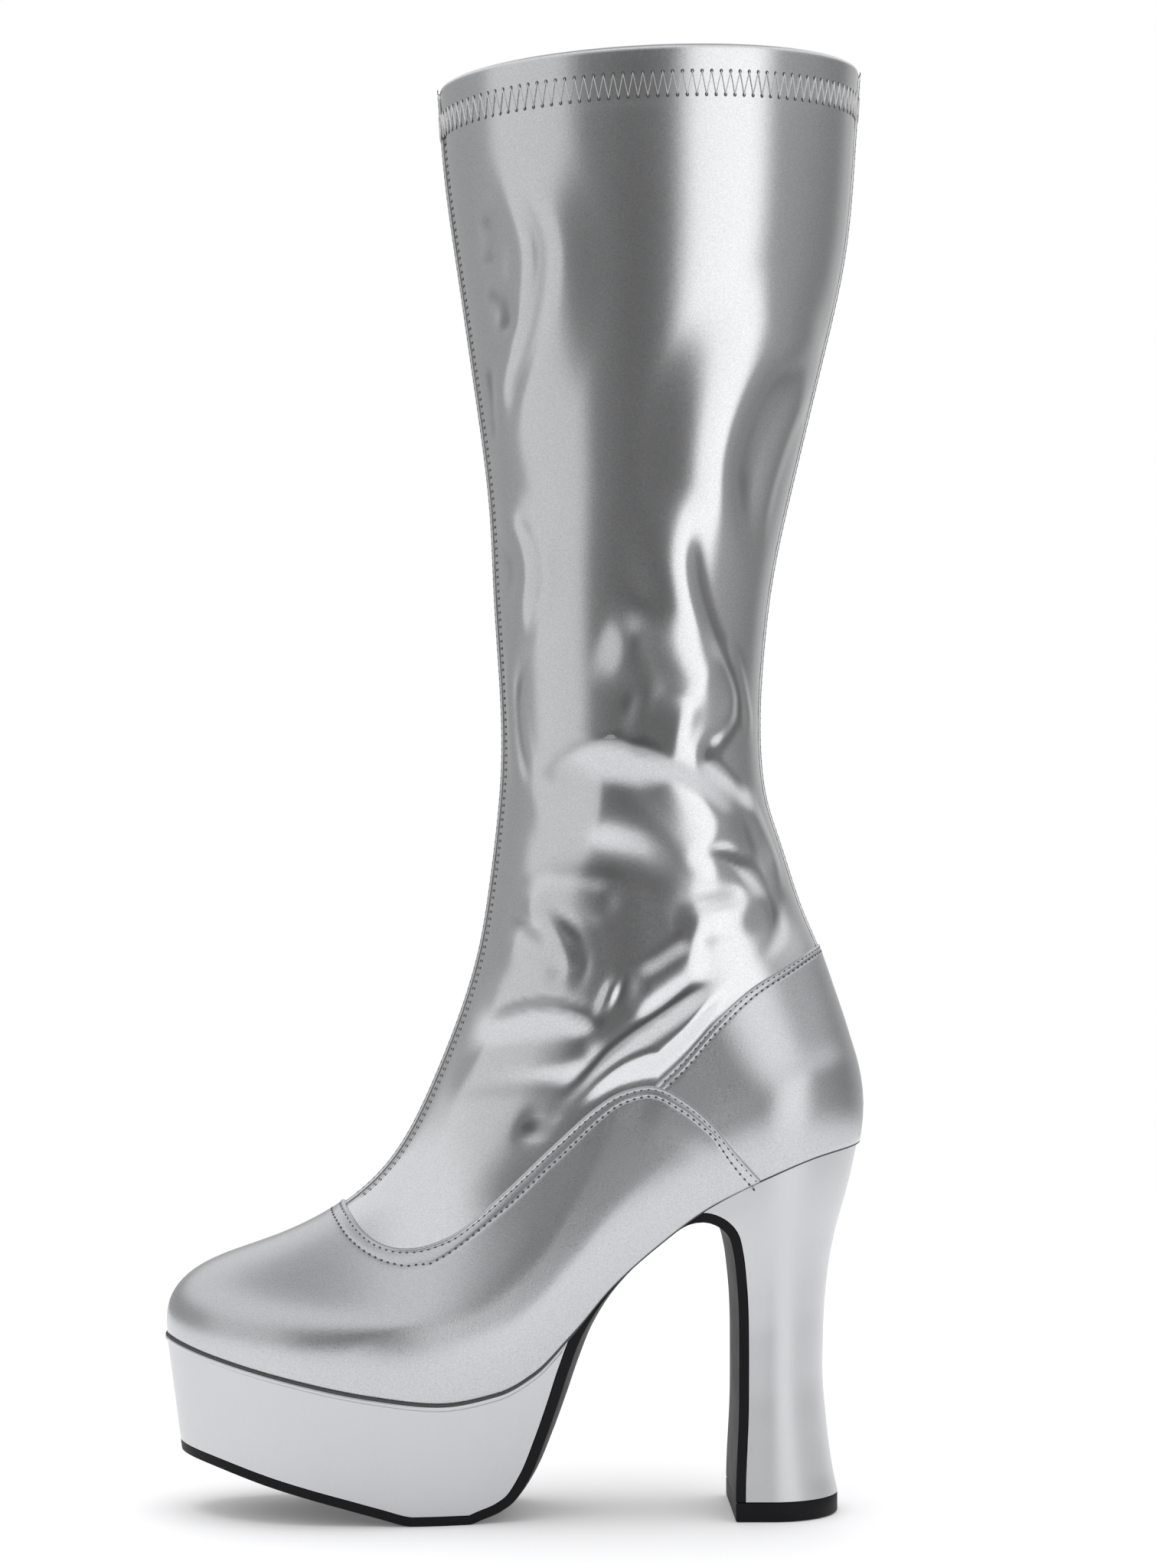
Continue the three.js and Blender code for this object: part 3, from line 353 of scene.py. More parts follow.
def spline_rows(places, table, at):
    """Columns of a table read along one smooth spline each."""
    places, table = np.asarray(places, float), np.asarray(table, float)
    n = len(places)
    h = np.diff(places)
    system, right = np.eye(n), np.zeros_like(table)
    for i in range(1, n - 1):
        system[i, i - 1:i + 2] = h[i - 1], 2 * (h[i - 1] + h[i]), h[i]
        right[i] = 6 * ((table[i + 1] - table[i]) / h[i] - (table[i] - table[i - 1]) / h[i - 1])
    bend = np.linalg.solve(system, right)
    i = np.clip(np.searchsorted(places, at) - 1, 0, n - 2)
    width = h[i][:, None]
    a = (places[i + 1] - at)[:, None] / width
    b = 1 - a
    return (a * table[i] + b * table[i + 1]
            + ((a ** 3 - a) * bend[i] + (b ** 3 - b) * bend[i + 1]) * width ** 2 / 6)


def smooth_rows(table, reach):
    """Each column averaged over its neighbours, with both ends kept where they are."""
    steps = np.arange(-3 * reach, 3 * reach + 1)
    weights = np.exp(-0.5 * (steps / reach) ** 2)
    weights /= weights.sum()
    pad = 3 * reach
    head = 2 * table[0] - table[pad:0:-1]
    tail = 2 * table[-1] - table[-2:-pad - 2:-1]
    longer = np.vstack([head, table, tail])
    return np.stack([np.convolve(column, weights, "valid") for column in longer.T], axis=1)


def round_corners(corners, steps):
    """Points an even way apart on a smooth line through the corners."""
    corners = np.asarray(corners, float)
    longer = np.vstack([2 * corners[0] - corners[1], corners, 2 * corners[-1] - corners[-2]])
    fine = []
    for p0, p1, p2, p3 in zip(longer, longer[1:], longer[2:], longer[3:]):
        d0, d1, d2 = (math.sqrt(np.linalg.norm(b - a)) for a, b in ((p0, p1), (p1, p2), (p2, p3)))
        leave = ((p1 - p0) / d0 - (p2 - p0) / (d0 + d1) + (p2 - p1) / d1) * d1
        arrive = ((p2 - p1) / d1 - (p3 - p1) / (d1 + d2) + (p3 - p2) / d2) * d1
        t = np.linspace(0, 1, 40, endpoint=False)[:, None]
        fine.append(p1 + leave * t + (3 * (p2 - p1) - 2 * leave - arrive) * t ** 2
                    + (2 * (p1 - p2) + leave + arrive) * t ** 3)
    fine = np.vstack([*fine, corners[-1:]])
    run = np.r_[0, np.cumsum(np.linalg.norm(np.diff(fine, axis=0), axis=1))]
    even = np.linspace(0, run[-1], steps + 1)
    return np.stack([np.interp(even, run, fine[:, k]) for k in range(fine.shape[1])], axis=1)


def crease_side(distance):
    """Height beside a crease's line, from 1 on its crest to 0 at its foot."""
    return (1 + np.cos(math.pi * np.clip(distance, 0.0, 1.0))) / 2


def soften(table, reach, wrap):
    """A table smoothed along its first direction over a reach in steps."""
    steps = np.arange(-math.ceil(3 * reach), math.ceil(3 * reach) + 1)
    weights = np.exp(-0.5 * (steps / reach) ** 2)
    pad = ((len(steps) // 2,) * 2, (0, 0))
    longer = np.pad(table, pad, mode="wrap" if wrap else "edge")
    total = sum(w * longer[i:i + len(table)] for i, w in enumerate(weights))
    return total / weights.sum()


def line_distance(points, line):
    """Distance from points to a drawn line, its sign (positive on the left), and how far along."""
    starts, runs = line[:-1], np.diff(line, axis=0)
    lengths = np.maximum(np.linalg.norm(runs, axis=1), 1e-9)
    offset = points[:, None, :] - starts[None]
    t = np.clip((offset * runs).sum(-1) / lengths ** 2, 0.0, 1.0)
    gap = offset - t[..., None] * runs
    far = np.linalg.norm(gap, axis=-1)
    near = far.argmin(axis=1)
    rows = np.arange(len(points))
    run, delta = runs[near], offset[rows, near]
    side = np.sign(run[:, 0] * delta[:, 1] - run[:, 1] * delta[:, 0])
    before = np.r_[0, np.cumsum(lengths)]
    along = (before[near] + t[rows, near] * lengths[near]) / before[-1]
    return far[rows, near], side, along


# The boot's form

class BootForm:
    """The boot's surfaces, worked out from its sizes.

    A place on the upper is (round, up): round runs from the front seam (0) over the outer side
    to the back seam (1) and over the inner side to the front again (2), and up is the way from
    the feather line in metres.
    """

    step = 0.0004
    outline_steps = 240
    crease_columns = 720
    crease_step = 0.0008
    edge_steps = 400
    halvings, inner_halvings = 24, 20

    # Bends of the surface, per metre, from where the painted shade in the creases' hollows sets in and over
    # which it grows
    hollow_from = 20
    hollow_range = 80

    def __init__(self, sizes):
        self.s = sizes
        s = sizes
        self.toe_level = s.platform_height + s.toe_spring
        self.ankle_level = s.heel_height + s.ankle_height
        self.collar_level = s.heel_height + s.shaft_height
        self.lift_level = s.lift_thickness + s.overlay_gap
        self.rise = curve_through(FEATHER["along"], FEATHER["rise"])
        self.spring = curve_through(FEATHER["along"], FEATHER["spring"])
        self.make_rings()
        self.make_outlines()
        self.make_underside()
        self.make_edges()
        self.make_creases()

    def x_at(self, along):
        """X of a place along the last, from the seat's back (0) to the toe's tip (1)."""
        return self.s.heel_setback - np.asarray(along, float) * self.s.last_length

    def along(self, x):
        """The place along the last at an X."""
        return (self.s.heel_setback - x) / self.s.last_length

    def feather(self, x):
        """Height of the line where the upper meets the sole."""
        s, place = self.s, self.along(x)
        lift = self.rise(place) * (s.heel_height - s.platform_height)
        return s.platform_height + lift + self.spring(place) * s.toe_spring

    def make_rings(self):
        """Columns: front x and z, back x and z, dip, fore, waist, seat, grip, both rounds."""
        s, rows = self.s, []
        box_top = self.toe_level + s.toe_box_height
        for front, box, climb, back, up, dip, fore, waist, seat, grip, toe, heel in FOOT_RINGS:
            front_level = self.toe_level + box * s.toe_box_height + climb * (self.ankle_level - box_top)
            back_level = s.heel_height + up * (s.ankle_height + s.ankle_tilt)
            lasts = (fore * s.ball_width, waist * s.waist_width, seat * s.seat_width)
            widths = (mix(width, s.ankle_width, grip) for width in lasts)
            rows.append((self.x_at(front), front_level, self.x_at(back), back_level, dip,
                         *widths, grip, toe, heel))
        leg = np.asarray(LEG_RINGS, float)
        read = [curve_through(leg[:, 0], leg[:, k]) for k in range(1, 5)]
        for level in LEG_LEVELS:
            centre, deep, wide, dip = (float(curve(level)) for curve in read)
            depth = mix(s.ankle_depth, s.collar_depth, deep)
            width = mix(s.ankle_width, s.collar_width, wide)
            height = mix(self.ankle_level, self.collar_level, level)
            tilt = mix(s.ankle_tilt, s.collar_tilt, max(0.0, level))
            rows.append((
                self.x_at(centre) - depth / 2, height, self.x_at(centre) + depth / 2, height + tilt,
                dip, width, width, width, 1, 0.5, 0.5,
            ))
        table = np.asarray(rows, float)
        chords = [np.linalg.norm(np.diff(table[:, k:k + 2], axis=0), axis=1) for k in (0, 2)]
        places = np.r_[0, np.cumsum((chords[0] + chords[1]) / 2)]
        self.height = places[-1]
        at = np.arange(0, self.height, self.step)
        self.table = smooth_rows(spline_rows(places, table, at), 16)
        self.height = at[-1]

    def ring_rows(self, up):
        """The rings' columns at given ways up."""
        place = np.clip(np.asarray(up, float) / self.step, 0, len(self.table) - 1)
        low = np.minimum(place.astype(int), len(self.table) - 2)
        part = (place - low)[..., None]
        return self.table[low] * (1 - part) + self.table[low + 1] * part

    def on_ring(self, ring, part, side):
        """Point of a ring: part runs from its front to its back, side is -1 outer, 1 inner."""
        s = self.s
        fx, fz, bx, bz, dip, fore, waist, seat, grip, toe, heel = np.moveaxis(ring, -1, 0)
        x = mix(fx, bx, part)
        place = self.along(x)

        def reach(width, outer_share):
            """A width's part on this side of the middle, which evens out up the leg."""
            even = mix(outer_share, 0.5, grip)
            return width * np.where(side < 0, even, 1 - even)

        at_seat, at_waist, at_fore = reach(seat, 0.5), reach(waist, 0.55), reach(fore, 0.51)
        half = np.where(
            place < WAIST,
            mix(at_seat, at_waist, ease((place - SEAT) / (WAIST - SEAT))),
            mix(at_waist, at_fore, ease((place - WAIST) / (BALL - WAIST))),
        )
        closing = end_round(part, toe) * end_round(1 - part, heel)
        swing = s.toe_swing * np.maximum(0.0, (place - BALL) / (1 - BALL)) ** 2
        toe_x, seat_x = self.x_at(1), self.x_at(0)
        matched = mix(toe_x, seat_x, part)
        spot = mix(matched, np.minimum(x, seat_x), ease(part / 0.55))
        chord = mix(self.toe_level, s.heel_height, (spot - toe_x) / s.last_length)
        z = mix(fz, bz, part) + dip * (self.feather(spot) - chord)
        return np.stack([x, swing + side * half * closing, z], axis=-1)

    def make_outlines(self):
        """For each ring, the turn (0 to pi, front to back) that lies at even shares of its outline."""
        turns = np.linspace(0, math.pi, self.outline_steps + 1)
        part = (1 - np.cos(turns)) / 2
        points = self.on_ring(self.table[:, None, :], part[None], -1.0)
        steps = np.linalg.norm(np.diff(points[..., :2], axis=1), axis=-1)
        run = np.concatenate([np.zeros((len(steps), 1)), np.cumsum(steps, axis=1)], axis=1)
        self.reach = run[:, -1]
        even = np.linspace(0, 1, self.outline_steps + 1)
        self.turns = np.stack([np.interp(even, row / row[-1], turns) for row in run])
        self.mid_levels = points[:, self.outline_steps // 2, 2]

    def half_girth(self, up):
        """Length of the outline over the outer side, from front to back."""
        return np.interp(up, np.arange(len(self.table)) * self.step, self.reach)

    def upper(self, around, up):
        """Points of the upper's plain outside."""
        around, up = np.broadcast_arrays(np.asarray(around, float), np.asarray(up, float))
        place = np.mod(around, 2.0)
        side = np.where(place > 1.0, 1.0, -1.0)
        part = np.where(place > 1.0, 2.0 - place, place)
        row = np.clip(up / self.step, 0, len(self.turns) - 1)
        low = np.minimum(row.astype(int), len(self.turns) - 2)
        fr = row - low
        col = part * self.outline_steps
        left = np.minimum(col.astype(int), self.outline_steps - 1)
        fc = col - left
        turn = (self.turns[low, left] * (1 - fr) * (1 - fc) + self.turns[low, left + 1] * (1 - fr) * fc
                + self.turns[low + 1, left] * fr * (1 - fc) + self.turns[low + 1, left + 1] * fr * fc)
        return self.on_ring(self.ring_rows(up), (1 - np.cos(turn)) / 2, side)

    def outward(self, around, up):
        """Directions away from the upper."""
        da, du = 0.004, 0.0012
        high, low = np.minimum(up + du, self.height), np.maximum(up - du, 0.0)
        across = self.upper(around + da, up) - self.upper(around - da, up)
        along = self.upper(around, high) - self.upper(around, low)
        return unit(np.cross(across, along))

    def make_creases(self):
        """How far the creases move the upper's outside, and where painted shade darkens their hollows, on one
        fine grid.
        """
        half_round = self.crease_columns // 2
        around = np.arange(self.crease_columns) / half_round
        up = np.arange(0, self.height, self.crease_step)
        points = self.upper(around[:, None], up[None])
        height = points[..., 2]
        depth = np.zeros(height.shape)
        part = fold_back(around)[:, None]
        width = part * self.half_girth(up)[None]
        for folds, side in ((OUTER_FOLDS, around[:, None] <= 1.0), (INNER_FOLDS, around[:, None] > 1.0)):
            for path, rise, left, right in folds:
                path = np.asarray(path, float)
                level = path[:, 1] * self.collar_level
                girth = np.interp(level, self.mid_levels, self.reach)
                line = round_corners(np.stack([path[:, 0] * girth, level], axis=1), steps=36)
                reach = max(left, right) / MM
                (x0, z0), (x1, z1) = line.min(axis=0) - reach, line.max(axis=0) + reach
                near = side & (width > x0) & (width < x1) & (height > z0) & (height < z1)
                far, sign, along = line_distance(np.stack([width[near], height[near]], axis=1), line)
                spread = np.where(sign > 0, left, right) / MM
                fade = ease(along / FOLD_END) * ease((1 - along) / FOLD_END)
                depth[near] += rise / MM * crease_side(far / spread) * fade
        edge = np.minimum(part, 1 - part) * self.half_girth(up)[None]
        depth *= self.s.fold_depth * ease((edge - 0.003) / 0.012)
        depth = soften(depth, 3.0, wrap=True)
        self.creases = soften(depth.T, 2.0, wrap=False).T
        # Painted shade: the creases' hollows, found from the surface's bend, later darken the patent's
        # colour.
        over = np.roll(self.creases, 1, 0) + np.roll(self.creases, -1, 0) - 2 * self.creases
        rise = np.gradient(np.gradient(self.creases, axis=1), axis=1)
        bend = over / (self.half_girth(up)[None] / half_round) ** 2 + rise / self.crease_step ** 2
        self.hollows = ease((soften(bend, 4.0, wrap=True) - self.hollow_from) / self.hollow_range)

    def read(self, table, around, up):
        """A value from a fine grid round and up the boot."""
        col = np.mod(around, 2.0) * self.crease_columns / 2
        row = np.clip(up / self.crease_step, 0, table.shape[1] - 1.001)
        left, low = col.astype(int) % self.crease_columns, row.astype(int)
        right = (left + 1) % self.crease_columns
        fc, fr = col - np.floor(col), row - low
        return ((table[left, low] * (1 - fc) + table[right, low] * fc) * (1 - fr)
                + (table[left, low + 1] * (1 - fc) + table[right, low + 1] * fc) * fr)

    def make_underside(self):
        """The outsole's underside in the side view, from the toe to the front of the heel's tip."""
        s = self.s
        rows = np.asarray(BOTTOM, float)
        x = self.x_at(rows[:, 0])
        x[-1] = -s.tip_length / 2
        z = rows[:, 1] * s.platform_height + rows[:, 2] * (s.heel_height - s.platform_height)
        corners = np.vstack([np.stack([x, z], axis=1), [[-s.tip_length / 2, self.lift_level]]])
        line = round_corners(corners, steps=600)
        line[:, 1] = np.maximum(line[:, 1], 0.0)
        lead = np.linspace(line[0, 0] - 0.02, line[0, 0], 40, endpoint=False)
        line = np.vstack([np.stack([lead, np.full(40, line[0, 1])], axis=1), line])
        self.bottom = line
        run = np.gradient(line, axis=0)
        self.bottom_out = unit(np.stack([run[:, 1], -run[:, 0]], axis=1))
        self.bottom_run = np.r_[0, np.cumsum(np.linalg.norm(np.diff(line, axis=0), axis=1))]

    def under(self, place, across, inset):
        """A place on the underside, moved into the sole. Steep faces are crowned across."""
        s = self.s
        x, z = (np.interp(place, self.bottom_run, self.bottom[:, k]) for k in (0, 1))
        ox, oz = (np.interp(place, self.bottom_run, self.bottom_out[:, k]) for k in (0, 1))
        fade = ease((z - self.lift_level) / (s.platform_height - self.lift_level))
        crown = np.where(ox > 0, s.platform_crown, s.breast_crown * fade)
        reach = 2 * across / s.seat_width
        return np.stack([x - ox * (inset + crown * reach ** 2), across + 0 * x, z - oz * inset], axis=-1)

    def rim(self, around, distance):
        """The feather line's outline moved outwards in plan, and its outward directions."""
        point = self.upper(around, 0.0)
        run = self.upper(around + 0.002, 0.0) - self.upper(around - 0.002, 0.0)
        out = unit(np.stack([run[..., 1], -run[..., 0]], axis=-1))
        x = point[..., 0] + out[..., 0] * distance
        y = point[..., 1] + out[..., 1] * distance
        return np.stack([x, y, self.feather(x)], axis=-1), out

    def sole(self, around, down, bead=0.0):
        """The sole's full form: down is a share of its depth, bead a roll that stands out."""
        s = self.s
        around, down = np.broadcast_arrays(np.asarray(around, float), np.asarray(down, float))
        bare, out = self.rim(around, 0.0)
        change = (bare[..., 0] - self.x_at(LIP_END)) / (0.15 * s.last_length)
        lip = mix(s.platform_lip, s.seat_lip, ease(change))
        drop = down * self.toe_level
        taper = mix(s.side_taper, s.toe_taper, np.abs(out[..., 0]))
        seat = self.rim(around, lip)[0]
        drawn = self.rim(around, lip - drop * taper + bead * lip / s.platform_lip)[0]
        part = ease((seat[..., 0] - self.x_at(HEEL_FRONT)) / (0.06 * s.last_length))
        tip_back = s.tip_length / 2
        shrink = s.tip_round / (s.seat_width / 2)
        tip_x = tip_back - (s.heel_setback + s.seat_lip - seat[..., 0]) * shrink
        tip_y = np.sign(seat[..., 1]) * s.tip_width / 2 * end_round(tip_back - tip_x, s.tip_round)
        pull = np.asarray(HEEL_LEVELS, float)
        back_pull = curve_through(pull[:, 0], pull[:, 1])(down)
        side_pull = curve_through(pull[:, 0], pull[:, 2])(down)
        top = seat[..., 2] - s.overlay_gap
        return np.stack([
            mix(drawn[..., 0], mix(seat[..., 0], tip_x, back_pull), part),
            mix(drawn[..., 1], mix(seat[..., 1], tip_y, side_pull), part),
            mix(drawn[..., 2] - s.overlay_gap - drop, mix(top, self.lift_level, down), part),
        ], axis=-1)

    def meet(self, places, inset, inner=False):
        """Where the sole's wall meets the underside's inset: round and down for each place."""
        places = np.asarray(places, float)
        level = self.under(places, 0.0, inset)[:, 2]

        def turn(way_round):
            return 2.0 - way_round if inner else way_round

        low, high = np.zeros(len(places)), np.ones(len(places))
        for _ in range(self.halvings):
            around = (low + high) / 2
            top, deep = np.zeros(len(places)), np.ones(len(places))
            for _ in range(self.inner_halvings):
                down = (top + deep) / 2
                above = self.sole(turn(around), down)[:, 2] > level
                top, deep = np.where(above, down, top), np.where(above, deep, down)
            point = self.sole(turn(around), down)
            behind = point[:, 0] > self.under(places, point[:, 1], inset)[:, 0]
            low, high = np.where(behind, low, around), np.where(behind, around, high)
        return turn(around), down

    def first_place(self, inset):
        """The place on the underside, near the toe, where the sole's front begins."""
        places = np.linspace(0, self.place_at_x(self.x_at(0.85)), 400)
        line = self.under(places, 0.0, inset)
        down = np.linspace(0, 1, 2000)
        front = self.sole(0.0, down)
        below = front[:, 2] < np.interp(front[:, 0], line[:, 0], line[:, 2])
        met = front[below.argmax()]
        return float(np.interp(met[0], line[:, 0], places))

    def thin_place(self, inset):
        """The place behind the platform where no more than the outsole fits under the upper."""
        places = np.linspace(0, self.bottom_run[-1], 1200)
        x, z = (np.interp(places, self.bottom_run, self.bottom[:, k]) for k in (0, 1))
        thin = (x > self.x_at(0.45)) & (self.feather(x) - z < inset + 0.0003)
        return places[thin.argmax()] - 0.001

    def place_at_x(self, x):
        """The place on the underside's front part that lies over a point of X."""
        peak = self.bottom[:, 0].argmax()
        return float(np.interp(x, self.bottom[:peak, 0], self.bottom_run[:peak]))

    def make_edges(self):
        """Upper ends of the vamp and the counter on each line that runs up the boot."""

        def outline(rows):
            rows = np.asarray(rows, float)
            z = mix(self.toe_level, self.ankle_level, rows[:, 1])
            return round_corners(np.stack([self.x_at(rows[:, 0]), z], axis=1), steps=160)

        vamp, counter = outline(VAMP_EDGE), outline(COUNTER_EDGE)
        far = 1.0
        vamp_area = np.vstack([[-far, vamp[0, 1]], [-far, -far], [vamp[-1, 0], -far], vamp[::-1]])
        counter_area = np.vstack([[counter[-1, 0], -far], [far, -far], [far, counter[0, 1]], counter])
        self.edge_round = np.linspace(0, 1, self.edge_steps + 1)
        self.vamp_up = self.highest_inside(self.edge_round, vamp_area)
        self.counter_up = self.highest_inside(self.edge_round, counter_area)
        reached = np.flatnonzero(self.vamp_up > 0.0008)
        self.vamp_end = self.edge_round[reached[-1]]
        over = np.flatnonzero(self.counter_up > self.vamp_up)
        self.counter_start = self.edge_round[over[0]]

    def highest_inside(self, arounds, area):
        """How far up each line stays inside an area of the side view."""
        ups = np.linspace(0, 0.24, 161)
        points = self.upper(arounds[:, None], ups[None])
        inside = in_outline(points[..., 0], points[..., 2], area)
        last = np.where(inside.any(axis=1), len(ups) - 1 - inside[:, ::-1].argmax(axis=1), 0)
        low, high = ups[last], ups[np.minimum(last + 1, len(ups) - 1)]
        for _ in range(14):
            middle = (low + high) / 2
            points = self.upper(arounds, middle)
            kept = in_outline(points[:, 0], points[:, 2], area)
            low, high = np.where(kept, middle, low), np.where(kept, high, middle)
        return np.where(inside.any(axis=1), low, 0.0)

    def vamp_top(self, around):
        """How far up the vamp reaches."""
        return np.interp(fold_back(around), self.edge_round, self.vamp_up)

    def counter_top(self, around):
        """How far up the counter reaches."""
        return np.interp(fold_back(around), self.edge_round, self.counter_up)

    def covered(self, around):
        """How far up the overlays cover the upper."""
        return np.maximum(self.vamp_top(around), self.counter_top(around))

    def edge_stretch(self, around, top):
        """How much further a slanted edge is along a line up the boot than straight across."""
        edge = self.upper(around, top)
        run = unit(np.gradient(edge, axis=0))
        rise = unit(self.upper(around, top + 0.001) - self.upper(around, np.maximum(top - 0.001, 0)))
        return 1 / np.clip(np.linalg.norm(np.cross(run, rise), axis=-1), 0.3, 1.0)


def fold_back(around):
    """Way round one side, 0 at the front and 1 at the back, for both sides alike."""
    place = np.mod(around, 2.0)
    return np.where(place > 1.0, 2.0 - place, place)


def in_outline(x, z, outline):
    """Which points of the side view lie inside an outline."""
    inside = np.zeros(np.shape(x), bool)
    for (ax, az), (bx, bz) in zip(outline, np.roll(outline, -1, axis=0)):
        if az == bz:
            continue
        crossing = (az > z) != (bz > z)
        inside ^= crossing & (x < ax + (z - az) * (bx - ax) / (bz - az))
    return inside


# Meshes

def grid_faces(rows, columns, start=0, around=False, over=False):
    """Four-sided faces of a grid of points. The grid may close on itself both ways."""
    r = np.arange(rows if over else rows - 1)[:, None]
    c = np.arange(columns if around else columns - 1)[None]
    up, along = (r + 1) % rows * columns, (c + 1) % columns
    a, b, d, e = r * columns + c, r * columns + along, up + along, up + c
    return (np.stack(np.broadcast_arrays(a, b, d, e), axis=-1).reshape(-1, 4) + start).tolist()


def closed_faces(rows, columns):
    """Faces of a sheet that is closed round its edge, with a cap at each side."""
    faces = grid_faces(rows, columns, over=True)
    faces.append([r * columns for r in range(rows)])
    faces.append([r * columns + columns - 1 for r in reversed(range(rows))])
    return faces


def add_piece(name, points, faces, finishes, node=None, picks=None, crisp=None, weld=False):
    """A piece of the boot as an object, which takes the place of its CAD node."""
    mesh = bpy.data.meshes.new(name)
    mesh.from_pydata(np.asarray(points, float).reshape(-1, 3).tolist(), [], faces)
    for finish in finishes:
        mesh.materials.append(finish)
    if picks is not None:
        mesh.polygons.foreach_set("material_index", np.asarray(picks, np.int32))
    if weld:
        work = bmesh.new()
        work.from_mesh(mesh)
        bmesh.ops.remove_doubles(work, verts=work.verts, dist=4e-6)
        bmesh.ops.dissolve_degenerate(work, dist=1e-6, edges=work.edges)
        bmesh.ops.recalc_face_normals(work, faces=work.faces)
        work.to_mesh(mesh)
        work.free()
    mesh.shade_smooth()
    if crisp:
        mesh.set_sharp_from_angle(angle=math.radians(crisp))
    piece = bpy.data.objects.new(name, mesh)
    bpy.context.scene.collection.objects.link(piece)
    return seat_piece(piece, node)


def seat_piece(piece, node=None):
    """Joins a piece to the boot's one body."""
    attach(piece, "root")
    if node:
        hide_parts(node)
    return piece


class Patches:
    """Points and faces of a closed body, gathered patch by patch and welded at the end."""

    def __init__(self):
        self.points, self.faces = [], []

    def start(self, points):
        """Adds points, and gives the number of the first one."""
        first = sum(len(p) for p in self.points)
        self.points.append(np.asarray(points, float).reshape(-1, 3))
        return first

    def grid(self, points):
        """Adds a grid of points with its faces."""
        points = np.asarray(points, float)
        self.faces += grid_faces(points.shape[0], points.shape[1], self.start(points))

    def cap(self, points):
        """Adds one face with many corners."""
        first = self.start(points)
        self.faces.append(list(range(first, first + len(points))))

    def add(self, node, finish, slot, crisp):
        """The body as a welded piece, whose edges stay crisp over an angle in degrees."""
        add_piece("boot_" + node, np.vstack(self.points), self.faces, [finish], node,
                  crisp=crisp, weld=True)


# Repeated stitches, by Geometry Nodes

class Tree:
    """A Geometry Nodes tree with named inputs."""

    def __init__(self, name, inputs):
        self.tree = bpy.data.node_groups.new(name, "GeometryNodeTree")
        face = self.tree.interface
        face.new_socket("Geometry", in_out="INPUT", socket_type="NodeSocketGeometry")
        face.new_socket("Geometry", in_out="OUTPUT", socket_type="NodeSocketGeometry")
        self.ids = {n: face.new_socket(n, in_out="INPUT", socket_type=k).identifier for n, k in inputs}
        self.entry = self.tree.nodes.new("NodeGroupInput")
        self.exit = self.tree.nodes.new("NodeGroupOutput")

    def node(self, kind, settings=None, **links):
        """A node: its settings first, then its sockets."""
        node = self.tree.nodes.new(kind)
        for key, value in (settings or {}).items():
            setattr(node, key, value)
        for key, value in links.items():
            self.put(node.inputs[key.replace("_", " ")], value)
        return node

    def put(self, socket, value):
        """Links a socket, or sets its value."""
        if isinstance(value, bpy.types.NodeSocket):
            self.tree.links.new(value, socket)
        else:
            socket.default_value = value

    def math(self, operation, a, b=0.0, vector=False):
        """A sum of two numbers or directions."""
        node = self.tree.nodes.new("ShaderNodeVectorMath" if vector else "ShaderNodeMath")
        node.operation = operation
        self.put(node.inputs[0], a)
        second = node.inputs["Scale"] if operation == "SCALE" else node.inputs[1]
        self.put(second, b)
        return node.outputs[0]

    def attribute(self, name):
        """A named direction that the carrier mesh holds at its points."""
        kind = {"data_type": "FLOAT_VECTOR"}
        return self.node("GeometryNodeInputNamedAttribute", kind, Name=name).outputs[0]

    def resample(self, curve, mode, **steps):
        """A curve with its points an even way apart."""
        return self.node("GeometryNodeResampleCurve", {"mode": mode}, Curve=curve, **steps).outputs[0]

    def turn(self, first, first_way, second, second_way):
        """A turn that lays two axes along two directions."""
        axes = {"primary_axis": first, "secondary_axis": second}
        return self.node("FunctionNodeAxesToRotation", axes,
                         Primary_Axis=first_way, Secondary_Axis=second_way).outputs[0]

    def close(self, geometry, material):
        """Ends the tree in real, smooth geometry of one material."""
        real = self.node("GeometryNodeRealizeInstances", Geometry=geometry).outputs[0]
        smooth = self.node("GeometryNodeSetShadeSmooth", Geometry=real).outputs[0]
        dyed = self.node("GeometryNodeSetMaterial", Geometry=smooth, Material=material).outputs[0]
        self.put(self.exit.inputs[0], dyed)

    def run(self, name, carrier, values, slot):
        """The tree's result on a carrier mesh, as a plain piece."""
        holder = bpy.data.objects.new(name + "_path", carrier)
        bpy.context.scene.collection.objects.link(holder)
        modifier = holder.modifiers.new(self.tree.name, "NODES")
        modifier.node_group = self.tree
        for key, value in values.items():
            modifier[self.ids[key]] = value
        shaped = holder.evaluated_get(bpy.context.evaluated_depsgraph_get())
        made = bpy.data.meshes.new_from_object(shaped)
        holder.modifiers.remove(modifier)
        bpy.data.objects.remove(holder)
        made.name = name
        piece = bpy.data.objects.new(name, made)
        bpy.context.scene.collection.objects.link(piece)
        return seat_piece(piece)


